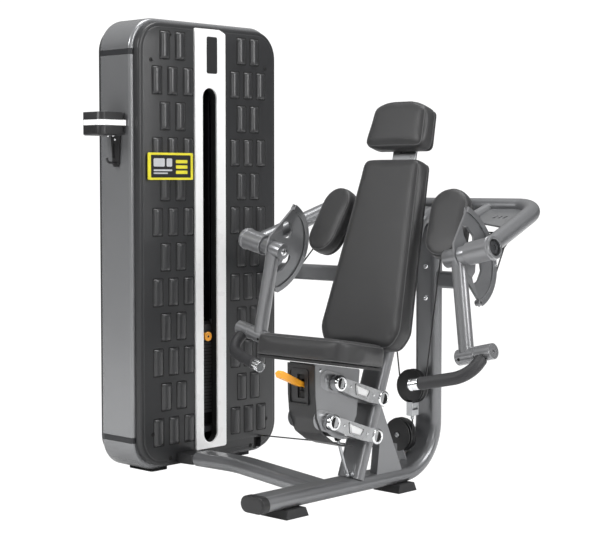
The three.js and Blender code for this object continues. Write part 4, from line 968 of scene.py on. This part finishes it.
# floating block: two straps, axle and end block
leg = lambda y: inXZ([(-12, 245), (12, 245), (12, 300), (-12, 300)], y, y + 4)
blk = build("floating_block_straps", [leg(FLOAT.y + 14.5), leg(FLOAT.y - 18.5), box(-12, 12, FLOAT.y - 16, FLOAT.y + 16, 245, 265)], "steel", "floating_block", ["floating_block"], bevel=0.8)
build("floating_block_cheeks", [rod((0, y, 346), (0, y + 4, 346), 56, 64, ch=1.2) for y in (FLOAT.y + 14.5, FLOAT.y - 18.5)], "black", "floating_block", angle=30)
build("floating_block_cheek_ring", [lathe([(9, 0), (15, 0), (15, 1.0), (13.5, 1.6), (10, 1.6), (9, 1.0)], (0, FLOAT.y - 18.5, 346), (0, -1, 0), 40, closed=True)], "black", "floating_block", angle=30)
build("floating_block_axle", [rod((0, FLOAT.y - 21, 346), (0, FLOAT.y + 21, 346), 8, 28), screw((0, FLOAT.y - 19.4, 346), (0, -1, 0), 8.5, 4), screw((0, FLOAT.y + 19.4, 346), (0, 1, 0), 8.5, 4)], "steel", "floating_block")

# ---------------------------------------------------------------------- cables
CAM_T, CAM_R, CAM_GROOVE, CAM_CABLE, CR = -44, 172, 163.5, 166.8, 2.5
SEC = ring(CR, 12)


def cable(name, pts):
    return build(name, [sweep(pts, SEC, (0.3, 0.2, 0.9))], "cable", None, angle=60)


def split(a, b, n):
    a, b = Vector(a), Vector(b)
    return [a.lerp(b, i / n) for i in range(n + 1)]


M_R = Vector((130, 775, 885))
fall = math.degrees(math.atan2(M_R.x - 52.8, M_R.z - FLOAT.z))
under = [Vector((p[0], FLOAT.y, p[1])) for p in arc(FLOAT.x, FLOAT.z, 52.8, -fall, -180 + fall, 24)]
Q = hub(CAM_T, 273, 64)
wrap_end = hub(CAM_T, CAM_CABLE * math.cos(math.radians(-41)), CAM_CABLE * math.sin(math.radians(-41)))
run = fillet([wrap_end, Q, M_R, under[0]], [0, 38, 40, 0], 12)
for s, side in ((1, "right"), (-1, "left")):
    pts = run[:-1] if s > 0 else [fl(p) for p in run[:-1]]
    o = cable(side + "_arm_cable_run", pts)
    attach(o, "frame")
    if s > 0:
        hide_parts("arm_cable")
    wr = [hub(CAM_T, CAM_CABLE * math.cos(math.radians(t)), CAM_CABLE * math.sin(math.radians(t))) for t in [-41 - 28 * i / 40 for i in range(41)]]
    if s < 0:
        wr = [fl(p) for p in wr]
    o = cable(side + "_cam_wrap", wr)
    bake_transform(o)
falls = split(run[-2], under[0], 24) + under[1:] + [fl(p) for p in split(run[-2], under[0], 24)][::-1][1:]
o = cable("arm_cable_falls", falls)
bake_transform(o)
SX, SY = -900, 555.5
stack_path = fillet([(SX, SY, 549.6), (SX, SY, 1560), (SX, 815, 1560), (SX, 815, 73), (0, 772, 123), (0, 772, 244.4)], [0, 47.5, 47.5, 30, 52.8, 0], 14)
rise_n = 1
o = cable("stack_cable_rise", split(stack_path[0], stack_path[1], 40))
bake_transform(o)
o = cable("stack_cable_run", stack_path[1:-1])
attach(o, "frame"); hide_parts("stack_cable")
o = cable("stack_cable_to_block", split(stack_path[-2], stack_path[-1], 30))
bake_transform(o)
build("block_cable_end", [rod((0, 772, 232), (0, 772, 246), 6, 20, ch=1.0)], "steel", "floating_block")
build("stack_cable_end", [rod((SX, SY, 548), (SX, SY, 566), 7, 20, ch=1.0)], "steel", "stack")

# ----------------------------------------------------------------- arm levers
inCam = lambda pts, t0, t1, holes=(): extrude(pts, hub(t0), Y, B, t1 - t0, holes)


cam_hole_up = soft([(31, 62, 8), (43, 36, 5), (74, 32, 8), (82, 60, 12), (58, 92, 12), (30, 96, 8)], 8)
cam_hole_low = soft([(66, -24, 8), (92, -27, 5), (90, -50, 12), (62, -82, 14), (36, -92, 6), (34, -70, 6), (54, -55, 12)], 8)
rim_prof = [(152, -9), (171, -9), (172, -8), (172, -5.2), (171, -4.2), (163.5, -2.4), (163.5, 2.4), (171, 4.2), (172, 5.2), (172, 8), (171, 9), (152, 9)]


def cam_rim():
    verts, faces = [], []
    n, kk = 40, len(rim_prof)
    for i in range(n + 1):
        t = math.radians(-71 + 135 * i / n)
        for r, h in rim_prof:
            verts.append(hub(CAM_T + h, r * math.cos(t), r * math.sin(t)))
    for i in range(n):
        for j in range(kk):
            jj = (j + 1) % kk
            faces.append((i * kk + j, i * kk + jj, (i + 1) * kk + jj, (i + 1) * kk + j))
    faces.append(tuple(range(kk - 1, -1, -1)))
    faces.append(tuple(range(n * kk, (n + 1) * kk)))
    return verts, faces


def tube_ring(c, a, s0, s1, ro, ri, n=44, ch=1.2):
    c, a = Vector(c), Vector(a).normalized()
    l = s1 - s0
    prof = [(ri, 0), (ro - ch, 0), (ro, ch), (ro, l - ch), (ro - ch, l), (ri, l)]
    return lathe(prof, c + a * s0, a, n, closed=True)


for s, side in ((1, "right"), (-1, "left")):
    m = s < 0
    plate = inCam(arc(0, 0, 160, -71, 64, 30) + [(-24, 42), (-34, 0), (-24, -30)], CAM_T - 4, CAM_T + 4, [cam_hole_up, cam_hole_low])
    build(side + "_cam_plate", [plate], "frame", side + "_arm", [side + "_arm"], bevel=1.0, mirror=m)
    build(side + "_cam_rim", [cam_rim()], "frame", side + "_arm", bevel=0.6, mirror=m)
    hubs = [rod(hub(-98), hub(-10), 28.5, 48, ch=1.6), rod(hub(-30), hub(80), 16.9, 40)]
    build(side + "_elbow_hub", hubs, "frame", side + "_arm", angle=40, mirror=m)
    # nut in the dark band paint and washer in near-black: painted shade of the recess at the elbow's end
    build(side + "_elbow_nut", [lathe([(0, 0), (22, 0), (22, 5.4), (20.5, 7), (11, 7), (10, 6), (10, 3.4), (0, 3.4)], hub(80.6), A, 6)], "band", side + "_arm", bevel=0.8, mirror=m)
    build(side + "_elbow_washer", [lathe([(11, 0), (26, 0), (26, 0.9), (11, 0.9)], hub(80.1), A, 44, closed=True)], "dark", side + "_arm", mirror=m)
    build(side + "_elbow_bolt", [lathe([(0, 0), (12.5, 0), (12.5, 3.4), (11.2, 5.2), (6, 6), (5.2, 5.4), (5.2, 2.6), (0, 2.6)], hub(-97.6), -A, 40)], "chrome", side + "_arm", angle=34, mirror=m)
    # near-black disc on the socket floor: painted shade in the socket
    build(side + "_elbow_bolt_socket", [lathe([(0, 0), (5.1, 0), (5.1, 0.6), (0, 0.6)], hub(-100.3), -A, 24)], "dark", side + "_arm", mirror=m)
    build(side + "_lever_tube", [rod(hub(-52, -2, -12), crs(-34, 1, 10), 24, 44)], "frame", side + "_arm", mirror=m)
    cross = tube_ring(CROSS, A, -66, 8, 25, 12.3)
    o = build(side + "_cross_tube", [cross], "frame", side + "_arm", mirror=m)
    build(side + "_cam_tip", [lathe([(0, 0), (9, 0), (10, 1), (10, 19), (9, 20), (4.5, 20), (4.5, 14), (0, 14)], hub(CAM_T - 10, 49, -150), A, 28)], "frame", side + "_arm", mirror=m)
    build(side + "_cross_screw", [screw(crs(-50, -24, -6), Vector((0, -1, -0.25)), 5, 2.5)], "dark", side + "_arm", mirror=m)
    keeper = rod(hub(CAM_T - 13, 158, -38), hub(CAM_T + 14, 158, -38), 3.2, 16, ch=0.6)
    build(side + "_keeper_pin", [keeper], "chrome", side + "_arm", mirror=m)
    # swivelling handle
    bar = fillet([crs(36), (523, 404, 462), (334, 362, 422)], [0, 78, 0], 24)
    be, bd = bar[-1], (bar[-1] - bar[-2]).normalized()
    build(side + "_handle_collar", [tube_ring(CROSS, A, 8.4, 70, 25, 4, ch=1.5), rod(crs(-60), crs(12), 12, 32, ch=1)], ["frame", "steel"], side + "_handle", [side + "_handle"], mirror=m)
    build(side + "_handle_bar", [sweep(bar, ring(12.5, 24), A)], "chrome", side + "_handle", mirror=m)
    build(side + "_handle_tip", [lathe([(0, 0), (18.5, 0), (18.5, 1.5), (17.2, 2.6), (17.2, 9), (18.8, 10.5), (18.8, 14), (17.4, 15.4), (9, 16), (0, 16)], be - bd * 6, bd, 40), rod(be - bd * 22, be - bd * 5, 18.5, 40, ch=0.8)], "chrome", side + "_handle", bevel=0.3, mirror=m)
    build(side + "_handle_tip_face", [lathe([(0, 0), (14.8, 0), (14.8, 0.9), (13.6, 1.5), (11.2, 1.5), (10.6, 1.0), (0, 1.0)], be + bd * 9.4, bd, 36)], "steel", side + "_handle", angle=34, mirror=m)
    gp = list(bar)
    fd = (bar[1] - bar[0]).normalized()
    gp[0] = bar[0] + fd * 25
    gp[-1] = be - bd * 22.6
    gv, gf = [], []
    # grip: swept tube with softly closed ends and two low ridges
    L = [0.0]
    for i in range(1, len(gp)):
        L.append(L[-1] + (gp[i] - gp[i - 1]).length)
    fine, t = [], 0
    steps_g = 70
    for i in range(steps_g + 1):
        q = L[-1] * i / steps_g
        while t < len(L) - 2 and L[t + 1] < q:
            t += 1
        fine.append(gp[t].lerp(gp[t + 1], (q - L[t]) / max(1e-6, L[t + 1] - L[t])))
    g = sweep(fine, ring(1, 32), A, caps=True)
    kk = 32
    for i, c in enumerate(fine):
        q = L[-1] * i / steps_g
        e = min(q, L[-1] - q)
        rad = 20.0 * (0.86 + 0.14 * min(1.0, (e / 3.5)) ** 0.5) + (0.9 if 4 < e < 10 else 0)
        for j in range(kk):
            v = g[0][i * kk + j]
            gv.append(c + (v - c) * rad)
    build(side + "_grip_sleeve", [(gv, g[1])], "grip", side + "_handle", [side + "_grip"], angle=50, mirror=m)

# ------------------------------------------------------------------------ seat
ST = math.radians(9.5)
seatV, seatN = Vector((0, math.cos(ST), -math.sin(ST))), Vector((0, math.sin(ST), math.cos(ST)))
seatO = Vector((0, 190, 552)) - seatN * 70
under_z = lambda y: seatO.z + (y - seatO.y) * (-math.tan(ST))
body_outline = soft([(221, under_z(221) - 0.6, 0), (434, under_z(434) - 0.6, 8), (418, 290, 24), (388, 240, 24), (345, 221, 20), (305, 233, 20), (262, 262, 20), (231, 305, 20), (223, 371, 20)], 8)
cavity = [(230, under_z(230) - 7), (470, under_z(470) - 7), (470, 180), (328, 180), (296, 250), (256, 290), (240, 318), (232, 371)]
car = build("carriage_body", [inYZ(body_outline, -55, 55)], "frame", "seat")
carve(car, [inYZ(cavity, -50, 50), box(-9.5, 9.5, 205, 240, 384, 424)])
oval_cut = lambda p: [(p[0] + y, p[1] + x) for x, y in arc(0, 12, 33, 0, 180, 16) + arc(0, -34, 33, 180, 360, 16)]


def recess(p):
    """oval pocket in the carriage side around a pivot, leaning with the link"""
    a = math.radians(-18)
    pts = []
    for x, y in arc(0, 10, 34, 0, 180, 18) + arc(0, -38, 34, 180, 360, 18):
        pts.append((p[0] + y * math.cos(a) - x * math.sin(a), p[1] + y * math.sin(a) + x * math.cos(a)))
    return pts


edge_finish(car, 1.2, 2)
build("carriage_bosses", [tube_ring((0, UF[0], UF[1]), (1, 0, 0), -57, 57, 24, 12.3), tube_ring((0, LF[0], LF[1]), (1, 0, 0), -57, 57, 24, 12.3)], "frame", "seat", ["seat_carriage"])
for i, p in enumerate((UF, LF)):
    pts = recess(p)
    for sx in (-1, 1):
        x0, x1 = (54.6, 55.5) if sx > 0 else (-55.5, -54.6)
        inner = offset(pts if area2(pts) > 0 else pts[::-1], 2.2)
        build("carriage_recess_rim_%d_%s" % (i, "r" if sx > 0 else "l"), [inYZ(pts, x0, x1, [inner])], "frame", "seat", bevel=0.3)
        build("carriage_recess_face_%d_%s" % (i, "r" if sx > 0 else "l"), [inYZ(inner, 54.7 if sx > 0 else -55.15, 55.15 if sx > 0 else -54.7)], "frame", "seat")
build("carriage_screws", [screw((55.2, 246, 452), (1, 0, 0), 6, 3.5), screw((-55.2, 246, 452), (-1, 0, 0), 6, 3.5)], "chrome", "seat")
so = soft([(213, 472, 0), (215, 370, 30), (222, 300, 30), (248, 250, 30), (300, 215, 20), (345, 198, 20), (396, 192, 0)], 10)
si = soft([(218, 472, 0), (220, 370.5, 30), (226.9, 302, 30), (251.8, 253.6, 30), (302.2, 219.6, 30), (346.2, 203, 20), (396, 197, 0)], 10)[::-1]
sh = build("shroud_moulding", [inYZ(so + si, -58, 58)], "black", "seat", ["seat_shroud"])
cut_top = extrude([(-200, -50), (200, -50), (200, 300), (-200, 300)], seatO - seatN * 0.4, (1, 0, 0), seatV, 60)
carve(sh, [box(-15, 15, 200, 236, 363, 439), box(3, 37, 345, 420, 180, 235), cut_top])
edge_finish(sh, 1.6, 3)
pocket = soft([(-50, 342, 8), (34, 342, 8), (34, 457, 12), (-50, 457, 12)], 8)
pk_in = soft([(-45, 347, 6), (29, 347, 6), (29, 452, 10), (-45, 452, 10)], 8)
build("lever_pocket_rim", [inXZ(pocket, 210.6, 215.5, [pk_in])], "black", "seat", bevel=1.2)
# the pocket's floor is darker than the black moulding around it: painted shade in the recess
build("lever_pocket_floor", [inXZ(rounded(-15, 15, 363, 439, 2), 221.2, 222.2, [[(-9.5, 384.5), (9.5, 384.5), (9.5, 423.5), (-9.5, 423.5)]])], "dark", "seat")
lever_pts = soft([(240, 392, 3), (246, 405, 3), (122, 455, 5), (112, 449, 4), (116, 439, 4)], 6)
lever_wide = soft([(206, 400, 4), (211, 417, 4), (122, 459, 6), (108, 452, 5), (114, 437, 5)], 6)
lv = build("lever_blade", [inYZ(lever_pts, -7, 7), inYZ(lever_wide, -12, 12)], "orange", "lever", ["seat_lever"], bevel=2.2, seg=4)
build("lever_pin", [across((244, 400), -20, 20, 4, 20, 0.5)], "steel", "lever")

link_dims = []


def link_side(r0, r1, lo, hi):
    dy, dz = r1[0] - r0[0], r1[1] - r0[1]
    l = math.hypot(dy, dz)
    u, n = (dy / l, dz / l), (-dz / l, dy / l)
    P = lambda s, t: (r0[0] + u[0] * s + n[0] * t, r0[1] + u[1] * s + n[1] * t)
    body_pts = soft([(*P(s, t), r) for s, t, r in ((0, -21, 4), (l, -21, 4), (l, 21, 4), (l * 0.62, 27, 40), (l * 0.3, 27, 40), (0, 21, 4))], 8)
    win = soft([(*P(s, t), 3.5) for s, t in ((l * 0.34, -8), (l * 0.66, -12), (l * 0.6, 13), (l * 0.38, 13))], 6)
    win2 = soft([(*P(s, t), 5) for s, t in ((l * 0.30, -12.5), (l * 0.70, -17), (l * 0.63, 18), (l * 0.35, 18))], 6)
    out = []
    out.append(("cast", inYZ(body_pts, lo + 3, hi - 3, [win])))
    face = hi - 3 if hi > 0 else lo + 3
    sgn = 1 if hi > 0 else -1
    rim = inYZ(win2, face - 1.0 if sgn > 0 else face - 2.4, face + 2.4 if sgn > 0 else face + 1.0, [win])
    out.append(("cast", rim))
    out.append(("insert", inYZ(win, face - sgn * 7.0 if sgn > 0 else face + 2.5, face - 2.5 if sgn > 0 else face + 7.0)))
    for p in (r0, r1):
        c = (lo if sgn > 0 else hi, p[0], p[1])
        L2 = hi - lo
        prof = [(0, 0), (24.5, 0), (26, 1.5), (26, L2 - 3), (24.6, L2 - 0.8), (23.6, L2), (18.6, L2), (17.2, L2 - 1.2), (16.6, L2 - 2.4), (16.6, L2 - 8), (0, L2 - 8)]
        out.append(("hub", lathe(prof, c, (sgn, 0, 0), 48)))
        # near-black disc on each bore's floor and the bolt head in it in the same dark finish: painted shade inside the
        # bore
        out.append(("dark", lathe([(0, 0), (16.4, 0), (16.4, 0.5), (0, 0.5)], (c[0] + sgn * (L2 - 8.0), p[0], p[1]), (sgn, 0, 0), 36)))
        out.append(("bolt", screw((c[0] + sgn * (L2 - 7.6), p[0], p[1]), (sgn, 0, 0), 9, 4.5)))
    for s_, t_ in ((l * 0.24, 1), (l * 0.78, -1)):
        q = P(s_, t_)
        out.append(("dot", lathe([(0, 0), (3.2, 0), (3.2, 1.2), (2.2, 1.6), (0, 1.6)], (face, q[0], q[1]), (sgn, 0, 0), 20)))
    return out


for nm, node, body, rear_p, front_p, rf in (("upper", "upper_seat_link", "upper_link", UR, UF, 12), ("lower", "lower_seat_link", "lower_link", LR, LF, 10.5)):
    sides = link_side(rear_p, front_p, 60, 86) + link_side(rear_p, front_p, -86, -60)
    build(nm + "_link_casting", [s for k_, s in sides if k_ == "cast"], "cast", body, [node], bevel=2.2, seg=3)
    build(nm + "_link_hubs", [s for k_, s in sides if k_ in ("hub", "dot")], "chrome", body, angle=40)
    build(nm + "_link_inserts", [s for k_, s in sides if k_ == "insert"], "insert", body, bevel=0.3)
    # bore floors and bolt heads near-black: painted shade inside the hubs
    build(nm + "_link_bore_shade", [s for k_, s in sides if k_ == "dark"], "dark", body)
    build(nm + "_link_bolts", [s for k_, s in sides if k_ == "bolt"], "dark", body)
    build(nm + "_link_shafts", [across(rear_p, -70, 70, 12), across(front_p, -70, 70, rf)], "steel", body)

G0, G1 = (412, 92), (318, 352)
gl = math.hypot(G1[0] - G0[0], G1[1] - G0[1])
gu = ((G1[0] - G0[0]) / gl, (G1[1] - G0[1]) / gl)
on = lambda s: Vector((20, G0[0] + gu[0] * s, G0[1] + gu[1] * s))
build("gas_rod", [rod(on(0), on(190), 5, 24), lathe([(0, -8), (3.1, -7.4), (5.7, -5.7), (7.4, -3.1), (8, 0), (7.4, 3.1), (5.7, 5.7), (3.1, 7.4), (0, 8)], on(0), (1, 0, 0), 24), rod(on(6), on(22), 6.5, 6)], "steel", "gas_rod", ["gas_spring_rod"], angle=40)
cyl = [lathe([(5.6, 0), (9.5, 0), (11, 1.5), (11, 140), (9, 144), (5.6, 144)], on(gl - 148), Vector((0, gu[0], gu[1])), 32, closed=True), rod(on(gl - 8), on(gl + 2), 7, 20), across(G1, -49.6, 49.6, 6, 20, 0.6)]
build("gas_cylinder", cyl, "black", "gas_cylinder", ["gas_spring_cylinder"], angle=40)

# ------------------------------------------------------------------ upholstery
def resample(pts, step):
    n = len(pts)
    total = [0.0]
    for i in range(n):
        total.append(total[-1] + (Vector(pts[(i + 1) % n]) - Vector(pts[i])).length)
    m = max(24, int(total[-1] / step))
    out, t = [], 0
    for i in range(m):
        q = total[-1] * i / m
        while total[t + 1] < q:
            t += 1
        a, b = Vector(pts[t % n]), Vector(pts[(t + 1) % n])
        out.append(tuple(a.lerp(b, (q - total[t]) / max(1e-9, total[t + 1] - total[t]))))
    return out


def frame_point(o, u, v, n, x, y, z):
    return Vector(o) + u * x + v * y + n * z


def cushion(name, outline, T, o, u, v, node, body, edge=16.0, crown=5.0, cap=2.6, pressure=1.2, board=9.0, voxel=0.0055, mirror=False, seams=()):
    """upholstered pad: board at the back, padded body swollen by cloth simulation, piping along its front and back edges"""
    u, v = Vector(u).normalized(), Vector(v).normalized()
    n = u.cross(v).normalized()
    out = dedupe(outline)
    if area2(out) < 0:
        out = out[::-1]
    out = resample(out, 7.0)
    k = len(out)
    shrink = 0.8
    rows = [(shrink + 5, board), (shrink, board + 3)]
    rows += [(shrink + 0.5 * math.sin(math.pi * i / 5), board + 3 + (T - edge - board - 3) * i / 5) for i in range(1, 6)]
    for i in range(1, 7):
        a = math.radians(90 * i / 6)
        rows.append((shrink + edge * (1 - math.cos(a)), T - edge - 0.6 + edge * math.sin(a)))
    verts, faces = [], []
    for ins, z in rows:
        for x, y in offset(out, ins):
            verts.append(frame_point(o, u, v, n, x, y, z))
    for i in range(len(rows) - 1):
        for j in range(k):
            jj = (j + 1) % k
            faces.append((i * k + j, i * k + jj, (i + 1) * k + jj, (i + 1) * k + j))
    faces.append(tuple(reversed(range(k))))
    # front face: rings shrinking to the middle, with a low crown
    last = offset(out, rows[-1][0])
    cx, cy = sum(p[0] for p in last) / k, sum(p[1] for p in last) / k
    prev = (len(rows) - 1) * k
    for i in range(1, 7):
        f = 1 - i / 7
        b = len(verts)
        for x, y in last:
            verts.append(frame_point(o, u, v, n, cx + (x - cx) * f, cy + (y - cy) * f, rows[-1][1] + crown * math.sin(math.pi / 2 * (1 - f)) * 0.6))
        for j in range(k):
            jj = (j + 1) % k
            faces.append((prev + j, prev + jj, b + jj, b + j))
        prev = b
    faces.append(tuple(prev + j for j in range(k)))
    pad = build(name, [(verts, faces)], "upholstery", None, angle=80, mirror=mirror)
    simulate(pad, o, u, v, n, board, cap, pressure, voxel, mirror)
    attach(pad, body)
    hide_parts(node)
    # board behind
    bo = offset(out, 5.0)
    build(name + "_board", [extrude(bo, frame_point(o, u, v, n, 0, 0, 0.6), u, v, board - 0.2)], "board", body, bevel=1.5, mirror=mirror)
    # piping lies on the padded surface; the piping is real, its colour lighter than the upholstery is a painted
    # highlight along the pad's edges
    bvh = None
    bm = bmesh.new()
    bm.from_mesh(pad.data)
    bvh = BVHTree.FromBMesh(bm)
    bm.free()
    for tag, ins, z, r, lift in (("front_piping_highlight", edge * 0.32, T - edge * 0.30, 1.5, 0.2), ("rear_piping_highlight", 1.5, board + 4.5, 1.7, 0.3)):
        pts = []
        for x, y in offset(out, ins):
            p = frame_point(o, u, v, n, x, y, z)
            if mirror:
                p = fl(p)
            hit = bvh.find_nearest(W(p))
            pts.append((hit[0] + hit[1] * (lift / 1000)) * 1000 - OFF)
        # smooth the line a little along its length
        for _ in range(2):
            pts = [(pts[i - 1] + pts[i] * 2 + pts[(i + 1) % k]) / 4 for i in range(k)]
        build(name + "_" + tag, [sweep(pts, ring(r, 8), n, closed_path=True)], "seam", body, angle=60)
    return pad


def simulate(pad, o, u, v, n, board, cap, pressure, voxel, mirror):
    me = pad.data
    rm = pad.modifiers.new("remesh", "REMESH")
    rm.mode = "VOXEL"
    rm.voxel_size = voxel
    bpy.context.view_layer.update()
    baked(pad)
    rest = [p.co.copy() for p in pad.data.vertices]
    nn = Vector((-n.x, n.y, n.z)) if mirror else n
    oo = W(fl(o)) if mirror else W(o)
    g = pad.vertex_groups.new(name="held")
    for i, p in enumerate(rest):
        h = (p - oo).dot(nn) * 1000
        w = 1.0 if h < board + 2.5 else (0.0 if h > board + 9 else (board + 9 - h) / 6.5)
        if w > 0:
            g.add([i], w, "REPLACE")
    cl = pad.modifiers.new("cloth", "CLOTH")
    s = cl.settings
    s.quality = 5
    s.mass = 0.3
    s.use_pressure = True
    s.uniform_pressure_force = pressure
    s.tension_stiffness = 22
    s.compression_stiffness = 22
    s.shear_stiffness = 12
    s.bending_stiffness = 1.2
    s.vertex_group_mass = "held"
    s.effector_weights.gravity = 0.0
    cl.collision_settings.use_collision = False
    cl.collision_settings.use_self_collision = False
    cl.point_cache.frame_start = 1
    cl.point_cache.frame_end = 20
    sc = bpy.context.scene
    for f in range(1, 21):
        sc.frame_set(f)
    baked(pad)
    sc.frame_set(1)
    for i, p in enumerate(pad.data.vertices):
        dlt = p.co - rest[i]
        if dlt.length > cap / 1000:
            p.co = rest[i] + dlt * (cap / 1000 / dlt.length)
    # relax the remesh steps, then one subdivision
    bm = bmesh.new()
    bm.from_mesh(pad.data)
    for _ in range(9):
        bmesh.ops.smooth_vert(bm, verts=bm.verts, factor=0.5, use_axis_x=True, use_axis_y=True, use_axis_z=True)
    for f in bm.faces:
        f.smooth = True
    for e in bm.edges:
        e.smooth = True
    bm.to_mesh(pad.data)
    bm.free()
    sd = pad.modifiers.new("sub", "SUBSURF")
    sd.levels = 1
    sd.render_levels = 1
    bpy.context.view_layer.update()
    baked(pad)
    if not pad.data.materials:
        pad.data.materials.append(MATS["upholstery"])


BTL = math.radians(16.3)
backV, backN = Vector((0, math.sin(BTL), math.cos(BTL))), Vector((0, -math.cos(BTL), math.sin(BTL)))
backO = Vector((0, 471.6, 505)) - backN * 66
cushion("back_cushion", soft([(-146, 0, 75), (146, 0, 75), (178, 60, 70), (122, 646, 32), (-122, 646, 32), (-178, 60, 70)], 10), 66, backO, (1, 0, 0), backV, "backrest_pad", "frame", edge=15, crown=3)
HTL = math.radians(17.6)
headV, headN = Vector((0, math.sin(HTL), math.cos(HTL))), Vector((0, -math.cos(HTL), math.sin(HTL)))
headO = Vector((0, 653.1, 1164)) - headN * 72
cushion("head_cushion", soft([(-128, -2, 28), (128, -2, 28), (112, 142, 30), (56, 163, 90), (-56, 163, 90), (-112, 142, 30)], 10), 72, headO, (1, 0, 0), headV, "headrest_pad", "frame", edge=14, crown=3)
for s, side in ((1, "right"), (-1, "left")):
    cushion(side + "_arm_cushion", rounded(-70, 70, -122, 122, 66, 14), 56, padC - padN * 56, padU, padL, side + "_arm_pad", "frame", edge=12, crown=3, mirror=s < 0)
cushion("seat_cushion", soft([(-186, 0, 60), (186, 0, 60), (196, 90, 60), (150, 276, 40), (-150, 276, 40), (-196, 90, 60)], 10), 80, seatO, (1, 0, 0), seatV, "seat_pad", "seat", edge=14, crown=4)

neckO, neckTop = backO + backV * 502, headO + headV * 100
bar_path = fillet([neckO - backN * 4.6, backO + backV * 610 - backN * 4.6, headO + headV * 14 - headN * 4.6, neckTop - headN * 4.6], [0, 60, 60, 0], 12)
build("headrest_bar", [sweep(bar_path, [(-50, -4), (50, -4), (50, 4), (-50, 4)], (1, 0, 0))], "steel", "frame", ["headrest_bracket"], bevel=1.2, seg=3)
